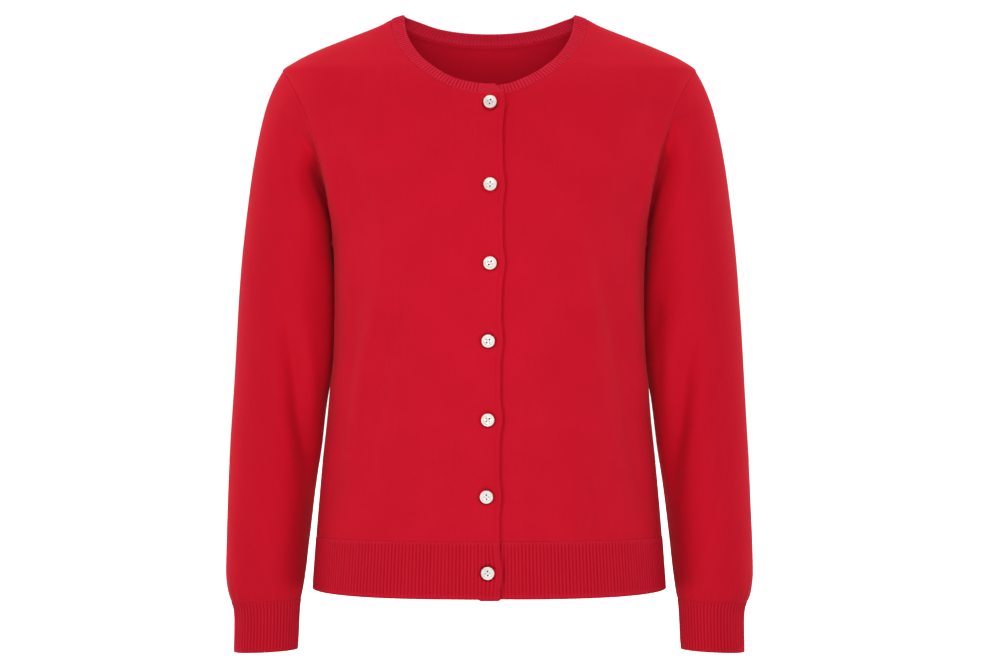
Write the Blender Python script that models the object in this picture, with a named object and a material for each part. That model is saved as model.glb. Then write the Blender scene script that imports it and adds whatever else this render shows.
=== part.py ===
"""Button cardigan: round neck, long sleeves, seven buttons, filled out as it is worn.

Every piece of cloth is a thin closed wall. The body panels, hem and neckband lie on one surface, the
torso, and each sleeve is a tube of rings that starts on the armhole seam. The tables hold millimetres,
the scene holds metres: +Z is up, the front faces -Y and the wearer's left is +X. The origin is midway
between the two points where the shoulder ridges meet the neck edge. "drop" is the distance below it.
"""

import math

import bmesh
import bpy
import numpy as np

MM = 0.001

# Cloth, in millimetres
WALL = 1.6  # fine jersey
RIB_WALL = 1.8  # ribbing, to the middle of its ridges
RIB_RELIEF = 0.3  # a ridge above that middle, a furrow below it
SEAM_GAP = 0.3

# Body lengths, as drops below the neck point
SHOULDER_DROP = 58.0
UNDERARM_DROP = 229.5
RIB_TOP_DROP = 521.0
HEM_DROP = 577.3
HEM_SIDE_RISE = 3.8  # the hem is that much higher at the side seams

# Neckband, in plan: half width and front and back reach of its free edge and of its seam
NECK_EDGE = {"half_width": 85.0, "front": 83.0, "back": 45.0}
NECK_SEAM = {"half_width": 98.0, "front": 88.6, "back": 55.0}
NECK_SQUARENESS = 2.15
BAND_RIB_PITCH = 3.5

# Armhole, an oval seen from the side
ARMHOLE_HALF_DEPTH = 54.0

# Front opening
PLACKET_NECK_X = 14.5  # the top of the right front's free edge, past the centre
PLACKET_PAST_BUTTONS = 12.2  # the rest of that edge, past the line of buttons
EDGE_SWELL = 2.5  # how far the edge bulges beside a button
EDGE_SWELL_SPREAD = 13.0
UNDERLAP_X = 14.0  # the hidden edge of the left front, past the centre
PLACKET_LIFT = 1.3  # the upper front rises over the lower one
PLACKET_SINK = 1.5  # and the lower one sinks under it
LIFT_START_X = -38.0
LIFT_END_X = -16.0
SINK_START_X = 38.0
SINK_END_X = 18.0
BAND_END_SLANT = 6.5  # the band's end leans back from the placket edge at the neck
BAND_SLANT_REACH = 0.2  # radians round the neck over which the ribs straighten up from that end

# Buttons
BUTTON_RADIUS = 6.4
BUTTON_THICKNESS = 2.6
BUTTON_PLACES = [  # (drop, x), sewn on a little out of line
    (95.2, 1.1),
    (175.6, 1.3),
    (251.7, 1.2),
    (326.8, -0.6),
    (403.0, -1.0),
    (477.6, -2.3),
    (551.4, -1.1),
]
BUTTON_HOLE_RADIUS = 0.75
BUTTON_HOLE_PITCH = 2.8
BUTTON_UPRIGHT = 0.5  # share of the cloth's slope that a button takes up
BUTTON_STAND_OFF = 0.3

# Ribbing
HEM_RIB_PITCH = 3.6
CUFF_RIB_PITCH = 3.4
PLACKET_PLAIN_POINTS = 3  # along the placket edge the ribs stop short, two points to a rib
BAND_PLAIN_POINTS = 12

# Grids
FRONT_COLUMNS = 14
BACK_NECK_STEPS = 6  # each way from the centre
BACK_SHOULDER_STEPS = 6
ARMHOLE_STEPS = 12
SIDE_ROWS = 10
FRONT_NECK_ROWS = 8
POINTS_A_PLAIN_STEP = 8
GUIDE_POINTS = 600  # along a line that ribs are spaced by
SETTLE_STEPS = 40
CLOTH_SHARP_ANGLE = math.radians(50)  # edges that turn more than this are shaded sharp
BUTTON_SHARP_ANGLE = math.radians(40)


def smooth(places, knots, values):
    """Monotone cubic curve through (knots, values), read at places."""
    steps = np.diff(knots)
    slopes = np.diff(values) / steps
    before, after = slopes[:-1], slopes[1:]
    total = np.where(before + after == 0, 1, before + after)
    tangents = np.concatenate(
        [slopes[:1], np.where(before * after > 0, 2 * before * after / total, 0), slopes[-1:]]
    )
    places = np.asarray(places, float)
    row = np.clip(np.searchsorted(knots, places, side="right") - 1, 0, len(steps) - 1)
    share = (places - knots[row]) / steps[row]
    cubic = share**2 * (3 - 2 * share)
    return (
        values[row]
        + (values[row + 1] - values[row]) * cubic
        + steps[row] * share * (1 - share) * ((1 - share) * tangents[row] - share * tangents[row + 1])
    )


def ease(share):
    """Smooth step from 0 to 1."""
    share = np.clip(share, 0, 1)
    return share**2 * (3 - 2 * share)


class Sections:
    """A table with a row for each section, read between its rows along its first column."""

    def __init__(self, columns, rows):
        self.knots = np.array([row[0] for row in rows], float)
        self.values = {
            name: np.array([row[index] for row in rows], float)
            for index, name in enumerate(columns)
        }

    def at(self, name, places):
        return smooth(places, self.knots, self.values[name])


# Level sections of the body. Down to the shoulder point, half_width is the shoulder line itself.
TORSO = Sections(
    ("drop", "half_width", "front_depth", "back_depth", "centre_y", "squareness"),
    [
        (0, 82, 3, 18, 0, 2.2),
        (4, 94.5, 12, 34.5, 0, 2.2),
        (12, 110, 21, 41.5, 0, 2.2),
        (24, 140, 34, 52, 0, 2.2),
        (36, 169.5, 47, 62, 0, 2.2),
        (48, 194, 59, 70, 0, 2.2),
        (58, 206.8, 69, 76, 0, 2.2),
        (76, 206.8, 83, 83, 0, 2.2),
        (93, 204.5, 92, 89, 0, 2.2),
        (117, 198, 100, 94, 0, 2.2),
        (144, 187.5, 107.5, 98, -1, 2.2),
        (170, 177, 112.5, 100, -2, 2.2),
        (194, 167, 115.5, 101, -3, 2.25),
        (213, 160, 117, 101, -4, 2.25),
        (226, 156.6, 118, 101, -5, 2.25),
        (245, 154.8, 118.5, 100, -6, 2.3),
        (285, 154.2, 118, 97, -7, 2.3),
        (343, 155.4, 116, 96, -7, 2.3),
        (372, 158.6, 115, 96.5, -7, 2.3),
        (406, 161.6, 114, 98, -6, 2.3),
        (456, 166.8, 112.5, 102, -5, 2.3),
        (521, 172.4, 112, 107, -4, 2.3),
        (576, 176.5, 112, 110, -3, 2.3),
    ],
)

# Rings of the sleeve and cuff, on the wearer's left. Each ring spans from the outer line of the arm to
# the inner one; half_depth is across them, front to back.
ARM = Sections(
    ("ring", "outer_x", "outer_drop", "inner_x", "inner_drop", "half_depth", "centre_y"),
    [
        (0, 206.8, 58, 155.9, 229.5, 54, 0),
        (1, 214.5, 72, 156.5, 236, 50, 1),
        (2, 222.6, 92, 156.4, 244, 47.5, 4),
        (3, 230, 120, 155.8, 255, 47.5, 7),
        (4, 237, 156, 154.6, 270, 49, 11),
        (5, 243, 200, 153.6, 290, 50.5, 15),
        (6, 248.8, 254, 153.4, 316, 50, 17),
        (7, 253.0, 312, 154.8, 346, 47.5, 17),
        (8, 256.0, 370, 161.6, 386, 44.5, 13),
        (9, 259.0, 425, 168.0, 430, 42, 8),
        (10, 261.2, 480, 175.6, 480, 39.5, 2),
        (11, 262.6, 530, 181.4, 530, 37.5, -4),
        (12, 262.8, 556, 184.0, 556, 36, -7),
        (13, 261.0, 574, 186.0, 573, 34, -8),
        (14, 257.4, 586, 187.8, 583.5, 31, -9),
        (15, 254.8, 594, 188.8, 591.5, 29.5, -9),
        (16, 254.0, 606, 189.5, 603, 28.5, -9),
        (17, 254.2, 622, 190.2, 619, 28, -9),
        (18, 254.6, 637, 191.0, 634, 28.5, -9),
    ],
)
ARM_SQUARENESS = 2.1
ARM_MM_A_DEGREE = 0.75  # round the arm
ARMHOLE_FADE = 4.5  # rings over which the armhole's outline turns into plain rings
CUFF_RING = 14
SLEEVE_RINGS = [0, 0.5, 1, 1.6, 2.3, 3, 3.7, 4.4, 5.2, 6, 7, 8, 9, 10, 11, 12, 13, 14]
CUFF_RINGS = [14, 15, 16, 18]


# Soft ridges (up) and troughs (down) of the cloth. On the body, across is the distance from the centre,
# to the wearer's left; on an arm it is the angle round it in degrees, 0 at the outer line, 90 in front.
FOLD_COLUMNS = ("across_start", "drop_start", "across_end", "drop_end", "half_breadth", "height")
FRONT_FOLDS = [
    (-112, 235, -142, 505, 13, 2.2),
    (-134, 270, -158, 480, 11, -2.4),
    (-88, 300, -104, 470, 14, -1.4),
    (98, 225, 150, 500, 14, -2.6),
    (82, 250, 118, 505, 15, 2.0),
    (128, 330, 160, 505, 11, 1.8),
    (40, 440, 62, 515, 13, -1.4),
]
BACK_FOLDS = [
    (-104, 190, -140, 500, 15, 2.2),
    (-78, 300, -92, 505, 14, -1.8),
    (110, 200, 146, 490, 14, -2.2),
    (76, 280, 96, 500, 16, 1.8),
    (8, 330, -6, 505, 18, -1.6),
]
ARM_FOLDS = {
    "right": [
        (72, 250, 112, 430, 16, -2.6),
        (96, 330, 140, 470, 14, 2.0),
        (250, 260, 215, 460, 18, -2.4),
        (285, 380, 240, 500, 14, 1.8),
    ],
    "left": [
        (66, 290, 104, 470, 16, -2.6),
        (100, 300, 134, 420, 14, 2.2),
        (246, 300, 222, 500, 18, -2.2),
        (290, 230, 250, 400, 16, 1.8),
    ],
}


def folds(across, drop, table, scale=1.0):
    """Height of the folds at a place: each is a soft ridge along a line, fading out at its two ends."""
    total = np.zeros(np.broadcast(across, drop).shape)
    for row in table:
        fold = dict(zip(FOLD_COLUMNS, row))
        run_across = (fold["across_end"] - fold["across_start"]) * scale
        run_down = fold["drop_end"] - fold["drop_start"]
        length = math.hypot(run_across, run_down)
        from_start, below_start = (across - fold["across_start"]) * scale, drop - fold["drop_start"]
        along = (from_start * run_across + below_start * run_down) / length
        aside = (from_start * run_down - below_start * run_across) / length
        fade = ease(along / (0.4 * length)) * ease((length - along) / (0.3 * length))
        total += fold["height"] * fade * np.exp(-((aside / fold["half_breadth"]) ** 2))
    return total


def unit(vectors):
    return vectors / np.linalg.norm(vectors, axis=-1, keepdims=True)


# ---- the torso surface ----


def torso(turn, drop):
    """Outer surface of the body. turn is 0 at the centre front, 90 degrees at the wearer's left side.

    Each level section is the superellipse |x / half_width|^n + |y / depth|^n = 1.
    """
    turn, drop = np.broadcast_arrays(turn, drop)
    square = TORSO.at("squareness", drop)
    reach = (np.abs(np.sin(turn)) ** square + np.abs(np.cos(turn)) ** square) ** (-1 / square)
    depth = np.where(np.cos(turn) > 0, TORSO.at("front_depth", drop), TORSO.at("back_depth", drop))
    x = TORSO.at("half_width", drop) * np.sin(turn) * reach
    y = TORSO.at("centre_y", drop) - depth * np.cos(turn) * reach
    return np.stack([x, y, -drop], axis=-1)


def torso_normal(turn, drop):
    """Outward unit normals of the torso, from small steps each way."""
    across = torso(turn + 1e-3, drop) - torso(turn - 1e-3, drop)
    down = torso(turn, drop + 0.05) - torso(turn, drop - 0.05)
    return unit(np.cross(down, across))


def turn_at(x, drop):
    """The turn at which the front of a section reaches x."""
    square = TORSO.at("squareness", drop)
    share = np.clip(np.abs(x) / TORSO.at("half_width", drop), 0, 1)
    return np.sign(x) * np.arctan2(share, (1 - share**square) ** (1 / square))


def settle(x, y):
    """(turn, drop) of the torso point straight below a plan point near the neck, by halving the drop."""
    high, low = np.zeros(x.shape), np.full(x.shape, UNDERARM_DROP)
    for _ in range(SETTLE_STEPS):
        drop = (high + low) / 2
        depth = np.where(y < 0, TORSO.at("front_depth", drop), TORSO.at("back_depth", drop))
        width = TORSO.at("half_width", drop)
        square = TORSO.at("squareness", drop)
        outside = np.abs(x / width) ** square + np.abs(y / depth) ** square > 1
        high, low = np.where(outside, drop, high), np.where(outside, low, drop)
    return np.arctan2(x / width, -y / depth), drop


def neckline(angle, across):
    """(turn, drop) round the neck: angle 0 is the front, across 0 the band's free edge and 1 its seam."""
    sine, cosine = np.sin(angle), np.cos(angle)
    reach = (np.abs(sine) ** NECK_SQUARENESS + np.abs(cosine) ** NECK_SQUARENESS) ** (-1 / NECK_SQUARENESS)

    def size(name):
        return NECK_EDGE[name] + (NECK_SEAM[name] - NECK_EDGE[name]) * across

    depth = np.where(cosine > 0, size("front"), size("back"))
    return settle(size("half_width") * sine * reach, -depth * cosine * reach)


def neck_angle(x, across):
    """The angle round the neck at which its front reaches x."""
    width = NECK_EDGE["half_width"] + (NECK_SEAM["half_width"] - NECK_EDGE["half_width"]) * across
    share = x / width
    return math.copysign(
        math.atan2(abs(share), (1 - abs(share) ** NECK_SQUARENESS) ** (1 / NECK_SQUARENESS)), x
    )


def armhole(angle):
    """(turn, drop) round the left armhole: angle 0 is the shoulder, 90 degrees the front, 180 the underarm."""
    middle = (SHOULDER_DROP + UNDERARM_DROP) / 2
    drop = middle - (UNDERARM_DROP - SHOULDER_DROP) / 2 * np.cos(angle)
    square = TORSO.at("squareness", drop)
    depth = np.where(np.sin(angle) > 0, TORSO.at("front_depth", drop), TORSO.at("back_depth", drop))
    side = ARMHOLE_HALF_DEPTH * np.sin(angle) / depth
    share = (1 - np.abs(side) ** square) ** (1 / square)
    return np.arctan2(share, side), drop


def placket_x(drop):
    """The right front's free edge, which follows the buttons and swells beside each of them."""
    levels, places = zip(*BUTTON_PLACES)
    swell = sum(np.exp(-(((drop - level) / EDGE_SWELL_SPREAD) ** 2)) for level in levels)
    return np.interp(drop, levels, places) + PLACKET_PAST_BUTTONS + EDGE_SWELL * swell


def front_layer(x, upper):
    """How far a front rises or sinks where the two fronts lie on each other."""
    if upper:
        return PLACKET_LIFT * ease((x - LIFT_START_X) / (LIFT_END_X - LIFT_START_X))
    return -PLACKET_SINK * ease((SINK_START_X - x) / (SINK_START_X - SINK_END_X))


# ---- the sleeve surface ----


def plain_ring(angle, ring):
    """A ring of the arm: angle 0 is its outer line, 90 degrees the front, 180 the inner line."""
    sine, cosine = np.sin(angle), np.cos(angle)
    reach = (np.abs(sine) ** ARM_SQUARENESS + np.abs(cosine) ** ARM_SQUARENESS) ** (-1 / ARM_SQUARENESS)
    outer = ARM.at("outer_x", ring), -ARM.at("outer_drop", ring)
    inner = ARM.at("inner_x", ring), -ARM.at("inner_drop", ring)
    x, z = ((o + i) / 2 + (o - i) / 2 * cosine * reach for o, i in zip(outer, inner))
    y = ARM.at("centre_y", ring) - ARM.at("half_depth", ring) * sine * reach
    return np.stack(np.broadcast_arrays(x, y, z), axis=-1)


def arm(angle, ring):
    """Outer surface of the left sleeve and cuff: plain rings that start from the armhole's own outline."""
    angle, ring = np.broadcast_arrays(angle, ring)
    seam = torso(*armhole(angle))
    own = np.clip(1 - ring / ARMHOLE_FADE, 0, 1)[..., None] ** 2
    return plain_ring(angle, ring) + own * (seam - plain_ring(angle, np.zeros_like(ring)))


def arm_normal(angle, ring):
    across = arm(angle + 1e-3, ring) - arm(angle - 1e-3, ring)
    down = arm(angle, ring + 2e-3) - arm(angle, np.maximum(ring - 2e-3, 0))
    return unit(np.cross(across, down))


def armhole_seam(angle):
    """(points, normals, ways) of the armhole seam: its normals halve the angle between body and sleeve,
    and its ways lie across it, towards the sleeve."""
    points = torso(*armhole(angle))
    along = unit(torso(*armhole(angle + 1e-3)) - torso(*armhole(angle - 1e-3)))
    between = torso_normal(*armhole(angle)) + arm_normal(angle, np.zeros_like(angle))
    between -= along * (between * along).sum(axis=-1, keepdims=True)
    normals = unit(between)
    return points, normals, unit(np.cross(normals, along))


# ---- meshes ----


def zip_rows(first, second):
    """Triangles between two rows of points that run side by side, whatever their counts."""
    triangles, i, j = [], 0, 0
    while i < len(first) - 1 or j < len(second) - 1:
        first_is_behind = (i + 1) * (len(second) - 1) <= (j + 1) * (len(first) - 1)
        if first_is_behind and i < len(first) - 1:
            triangles.append((first[i], first[i + 1], second[j]))
            i += 1
        else:
            triangles.append((first[i], second[j + 1], second[j]))
            j += 1
    return triangles


def grid_faces(index):
    quads = np.stack([index[:-1, :-1], index[1:, :-1], index[1:, 1:], index[:-1, 1:]], axis=-1)
    return quads.reshape(-1, 4).tolist()


def wall(name, outer, inner, closed, material):
    """A closed body between two grids of points: the cloth's outside and its inside.

    The grids have the same rows and may differ in columns. closed joins their last columns to the first.
    """
    outer_index = np.arange(outer.shape[0] * outer.shape[1]).reshape(outer.shape[:2])
    inner_index = outer_index.size + np.arange(inner.shape[0] * inner.shape[1]).reshape(inner.shape[:2])
    if closed:
        outer_index = np.column_stack([outer_index, outer_index[:, 0]])
        inner_index = np.column_stack([inner_index, inner_index[:, 0]])
    faces = grid_faces(outer_index) + grid_faces(inner_index)
    faces += zip_rows(outer_index[0], inner_index[0]) + zip_rows(outer_index[-1], inner_index[-1])
    if not closed:
        for column in (0, -1):
            faces += grid_faces(np.column_stack([outer_index[:, column], inner_index[:, column]]))
    points = np.concatenate([outer.reshape(-1, 3), inner.reshape(-1, 3)]) * MM
    mesh = bpy.data.meshes.new(name)
    mesh.from_pydata(points.tolist(), [], [[int(corner) for corner in face] for face in faces])
    shell = bmesh.new()
    shell.from_mesh(mesh)
    bmesh.ops.recalc_face_normals(shell, faces=shell.faces)
    bmesh.ops.triangulate(shell, faces=shell.faces, quad_method="SHORT_EDGE")
    if shell.calc_volume(signed=True) < 0:
        bmesh.ops.reverse_faces(shell, faces=shell.faces)
    shell.to_mesh(mesh)
    shell.free()
    mesh.shade_smooth()
    mesh.set_sharp_from_angle(angle=CLOTH_SHARP_ANGLE)
    return add_object(name, mesh, material)


def add_object(name, mesh, material):
    obj = bpy.data.objects.new(name, mesh)
    bpy.context.scene.collection.objects.link(obj)
    if not mesh.materials:
        mesh.materials.append(material)
    return obj


def mirrored(points, side):
    """Points worked out for the wearer's left, on the side that is meant."""
    return points * (np.array([-1, 1, 1]) if side == "right" else 1)


def make_material(name, colour, roughness):
    material = bpy.data.materials.new(name)
    material.use_nodes = True
    shader = material.node_tree.nodes["Principled BSDF"]
    shader.inputs["Base Color"].default_value = (*colour, 1)
    shader.inputs["Roughness"].default_value = roughness
    shader.inputs["Metallic"].default_value = 0
    return material


# ---- body panels ----


def armhole_angles():
    return np.linspace(0, math.pi, ARMHOLE_STEPS + 1)


def side_drops():
    """Levels of the rows below the underarm."""
    return np.linspace(UNDERARM_DROP, RIB_TOP_DROP, SIDE_ROWS + 1)[1:]


def placket_drops(start):
    """Levels, at the front opening, of the rows that run from below the neck to the armhole."""
    return np.linspace(start, UNDERARM_DROP, ARMHOLE_STEPS + 2 - FRONT_NECK_ROWS)[1:]


def panel_grid(inner_rail, outer_rail, columns):
    """(turn, drop) grids between two rails, each a pair of arrays."""
    share = np.linspace(0, 1, columns)
    return [near[:, None] + (far - near)[:, None] * share for near, far in zip(inner_rail, outer_rail)]


def panel_wall(name, turn, drop, lift, seam_normals, material, side):
    """A body panel. Its armhole columns take the seam's normals."""
    normals = torso_normal(turn, drop)
    outer = torso(turn, drop) + lift[..., None] * normals
    for column, seam in seam_normals.items():
        normals[: len(seam), column] = seam
    inner = outer - WALL * normals
    return wall(name, mirrored(outer, side), mirrored(inner, side), False, material)


def front_neck_angles(side):
    past_centre = PLACKET_NECK_X if side == "right" else UNDERLAP_X
    return np.linspace(math.pi / 2, -neck_angle(past_centre, 1), FRONT_NECK_ROWS)


def back_neck_angles():
    return np.linspace(math.pi, math.pi / 2, BACK_NECK_STEPS + 1)


def make_front(side, material):
    upper = side == "right"
    sign = -1 if upper else 1
    neck_turn, neck_drop = neckline(front_neck_angles(side), 1)
    edge_drop = np.concatenate([placket_drops(neck_drop[-1]), side_drops()])
    edge_x = placket_x(edge_drop) if upper else np.full(len(edge_drop), UNDERLAP_X)
    inner_rail = (
        np.concatenate([neck_turn, turn_at(-edge_x, edge_drop)]),
        np.concatenate([neck_drop, edge_drop]),
    )
    angles = armhole_angles()
    arm_turn, arm_drop = armhole(angles)
    outer_rail = (
        np.concatenate([arm_turn, np.full(SIDE_ROWS, math.pi / 2)]),
        np.concatenate([arm_drop, side_drops()]),
    )
    turn, drop = panel_grid(inner_rail, outer_rail, FRONT_COLUMNS)
    x = sign * torso(turn, drop)[..., 0]
    lift = front_layer(x, upper) + folds(x, drop, FRONT_FOLDS)
    lift[:, -1] = 0
    panel_wall("front_" + side, turn, drop, lift, {-1: armhole_seam(angles)[1]}, material, side)


def make_back(material):
    """The back, which starts a seam gap behind the fronts at the shoulders and sides.

    One half is worked out, from the centre line to the armhole. Its top row follows the neck seam and
    then the shoulder, and the rows below straighten out by the underarm.
    """
    neck_turn, neck_drop = neckline(back_neck_angles(), 1)
    shoulder_drop = np.linspace(neck_drop[-1], SHOULDER_DROP, BACK_SHOULDER_STEPS + 1)[1:]
    top_turn = np.concatenate([neck_turn, np.full(BACK_SHOULDER_STEPS, math.pi / 2)])
    top_drop = np.concatenate([neck_drop, shoulder_drop])
    arm_turn, arm_drop = armhole(-armhole_angles())
    middle_drop = np.linspace(neck_drop[0], UNDERARM_DROP, ARMHOLE_STEPS + 1)
    rails = [
        (np.full(ARMHOLE_STEPS + 1 + SIDE_ROWS, math.pi), np.concatenate([middle_drop, side_drops()])),
        (
            np.concatenate([arm_turn, np.full(SIDE_ROWS, math.pi / 2)]),
            np.concatenate([arm_drop, side_drops()]),
        ),
    ]
    turn, drop = panel_grid(*rails, len(top_turn))
    straighten = np.clip(1 - np.arange(len(turn)) / ARMHOLE_STEPS, 0, 1)[:, None] ** 2
    turn = turn + straighten * (top_turn - turn[0])
    drop = drop + straighten * (top_drop - drop[0])
    turn = np.maximum(turn, math.pi / 2 + SEAM_GAP / TORSO.at("back_depth", drop))
    turn = np.concatenate([turn[:, :0:-1], 2 * math.pi - turn], axis=1)
    drop = np.concatenate([drop[:, :0:-1], drop], axis=1)
    lift = folds(torso(turn, drop)[..., 0], drop, BACK_FOLDS)
    lift[:, [0, -1]] = 0
    left_seam = armhole_seam(-armhole_angles())[1]
    seams = {0: left_seam, -1: mirrored(left_seam, "right")}
    panel_wall("back", turn, drop, lift, seams, material, "left")


# ---- ribbed pieces ----


def even_shares(points, pitch):
    """Shares of the way along a line of points, two for each rib and evenly spaced."""
    steps = np.linalg.norm(np.diff(points, axis=0), axis=1)
    length = np.concatenate([[0], np.cumsum(steps)]) / steps.sum()
    ribs = round(steps.sum() / pitch)
    return np.interp(np.linspace(0, 1, 2 * ribs + 1), length, np.linspace(0, 1, len(points)))


def relief(count, plain=0):
    """Heights of a row of ridges and furrows, of which the first few points may be plain."""
    heights = RIB_RELIEF * np.where(np.arange(count) % 2, 1.0, -1.0)
    heights[:plain] = 0
    return heights


def plain_share(count):
    """Shares for the plain inside of a ribbed piece, one for every few ribs."""
    return np.linspace(0, 1, 1 + round(count / POINTS_A_PLAIN_STEP))


def make_hem_rib(name, starts, end, layer, plain, side, material):
    """A length of the hem from starts, a turn for each of its two rows, to end."""
    starts = np.array(starts)[:, None]
    guide = torso(starts[1] + (end - starts[1]) * np.linspace(0, 1, GUIDE_POINTS), HEM_DROP)
    shares = even_shares(guide, HEM_RIB_PITCH)

    def surface(shares, height):
        turn = starts + (end - starts) * shares
        edge = HEM_DROP - HEM_SIDE_RISE * np.sin(turn[1]) ** 4
        drops = np.stack([np.full(len(edge), RIB_TOP_DROP + SEAM_GAP), edge])
        points = torso(turn, drops)
        lift = height + layer(points[..., 0])
        return mirrored(points + lift[..., None] * torso_normal(turn, drops), side)

    outer = surface(shares, relief(len(shares), plain))
    wall(name, outer, surface(plain_share(len(shares)), -RIB_WALL), False, material)


def make_hem(material):
    for side in ("right", "left"):
        upper = side == "right"
        sign = -1 if upper else 1
        drops = np.array([RIB_TOP_DROP, HEM_DROP])
        edge = placket_x(drops) if upper else np.full(2, UNDERLAP_X)

        def layer(x, sign=sign, upper=upper):
            return front_layer(sign * x, upper)

        plain = PLACKET_PLAIN_POINTS if upper else 0
        name = "hem_rib_front_" + side
        make_hem_rib(name, turn_at(-edge, drops), math.pi / 2, layer, plain, side, material)
    gap = SEAM_GAP / TORSO.at("back_depth", HEM_DROP)
    ends = math.pi / 2 + gap, 1.5 * math.pi - gap
    make_hem_rib("hem_rib_back", [ends[0]] * 2, ends[1], np.zeros_like, 0, "left", material)


def neck_seam_line(angles):
    """(points, normals) of the neck seam at angles from 0 at the wearer's right front edge, round the back.

    The body's neck edges run straight between their rows, so the seam does too.
    """
    back = back_neck_angles()
    first_half = front_neck_angles("right")[::-1], back[-2::-1]
    second_half = 2 * math.pi - back[1:], 2 * math.pi - front_neck_angles("left")[1:]
    knots = np.concatenate([*first_half, *second_half])
    turn, drop = neckline(knots, 1)
    found = []
    for values in (torso(turn, drop), torso_normal(turn, drop)):
        found.append(np.stack([np.interp(angles, knots, values[:, i]) for i in range(3)], axis=-1))
    return found[0], unit(found[1])


def make_neckband(material):
    """The band runs from its upper end in front, over the right shoulder and round the back.

    It is worked out on the left and mirrored, and its lower end passes under its upper one.
    """
    start = -neck_angle(PLACKET_NECK_X, 1)
    end = 2 * math.pi + neck_angle(UNDERLAP_X, 1)
    guide = torso(*neckline(np.linspace(start, end, GUIDE_POINTS), 0.5))
    shares = even_shares(guide, BAND_RIB_PITCH)
    free_x = PLACKET_NECK_X - BAND_END_SLANT
    slant = start + neck_angle(free_x, 0)

    def surface(shares, height):
        base = start + (end - start) * shares
        rows = []
        for across in (0, 0.5, 1):
            lean = -slant * (1 - across) * np.clip(1 - (base - start) / BAND_SLANT_REACH, 0, 1)
            angle = base + lean
            if across < 1:
                place = neckline(angle, across)
                points, normals = torso(*place), torso_normal(*place)
            else:
                points, normals = neck_seam_line(angle)
                points = points + SEAM_GAP * unit(rows[-1] - points)
            in_front = np.cos(angle) > 0
            x = -points[:, 0]
            layer = np.where(angle < math.pi, front_layer(x, True), front_layer(x, False))
            lift = height + layer * in_front
            rows.append(points + lift[:, None] * normals)
        return mirrored(np.array(rows), "right")

    outer = surface(shares, relief(len(shares), BAND_PLAIN_POINTS))
    wall("neckband", outer, surface(plain_share(len(shares)), -RIB_WALL), False, material)


# ---- sleeves ----


def arm_surface(angle, ring, side):
    """(points, normals) of the arm with its folds, on the left."""
    angle, ring = np.broadcast_arrays(angle, ring)
    points, normals = arm(angle, ring), arm_normal(angle, ring)
    height = folds(np.degrees(angle) % 360, -points[..., 2], ARM_FOLDS[side], ARM_MM_A_DEGREE)
    fade = ease(ring / ARMHOLE_FADE) * ease((CUFF_RING - ring) / 2)
    return points + (height * fade)[..., None] * normals, normals


def make_sleeve(side, material):
    angle = np.linspace(0, 2 * math.pi, 2 * ARMHOLE_STEPS, endpoint=False)
    ring = np.array(SLEEVE_RINGS)[:, None]
    outer, normals = arm_surface(angle, ring, side)
    seam, seam_normals, way = armhole_seam(angle)
    outer[0] = seam + SEAM_GAP * way
    normals[0] = seam_normals
    inner = outer - WALL * normals
    wall("sleeve_" + side, mirrored(outer, side), mirrored(inner, side), True, material)


def make_cuff(side, material):
    guide = arm(np.linspace(0, 2 * math.pi, GUIDE_POINTS), CUFF_RING + 2)
    shares = even_shares(guide, CUFF_RIB_PITCH)[:-1]
    ring = np.array(CUFF_RINGS, float)[:, None]
    ring[0] += SEAM_GAP / (ARM.at("outer_drop", CUFF_RING + 1) - ARM.at("outer_drop", CUFF_RING))

    def surface(shares, height):
        angle = 2 * math.pi * shares
        points = arm(angle, ring) + np.multiply.outer(height, [1, 1, 1]) * arm_normal(angle, ring)
        return mirrored(points, side)

    outer = surface(shares, relief(len(shares)))
    inner_shares = plain_share(len(shares))[:-1]
    wall("cuff_" + side, outer, surface(inner_shares, np.full(len(inner_shares), -RIB_WALL)), True, material)


# ---- buttons ----

# The button's profile from the middle of its face to the middle of its back, in shares of its radius
# and its thickness: a dished face inside a rounded rim.
BUTTON_PROFILE = [
    (0, 0.62),
    (0.5, 0.66),
    (0.68, 0.94),
    (0.82, 1.0),
    (0.96, 0.84),
    (1.0, 0.5),
    (0.86, 0.0),
    (0, 0),
]
BUTTON_BACK_RADIUS = 0.86 * BUTTON_RADIUS
BUTTON_SIDES = 18
HOLE_SIDES = 6


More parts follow.
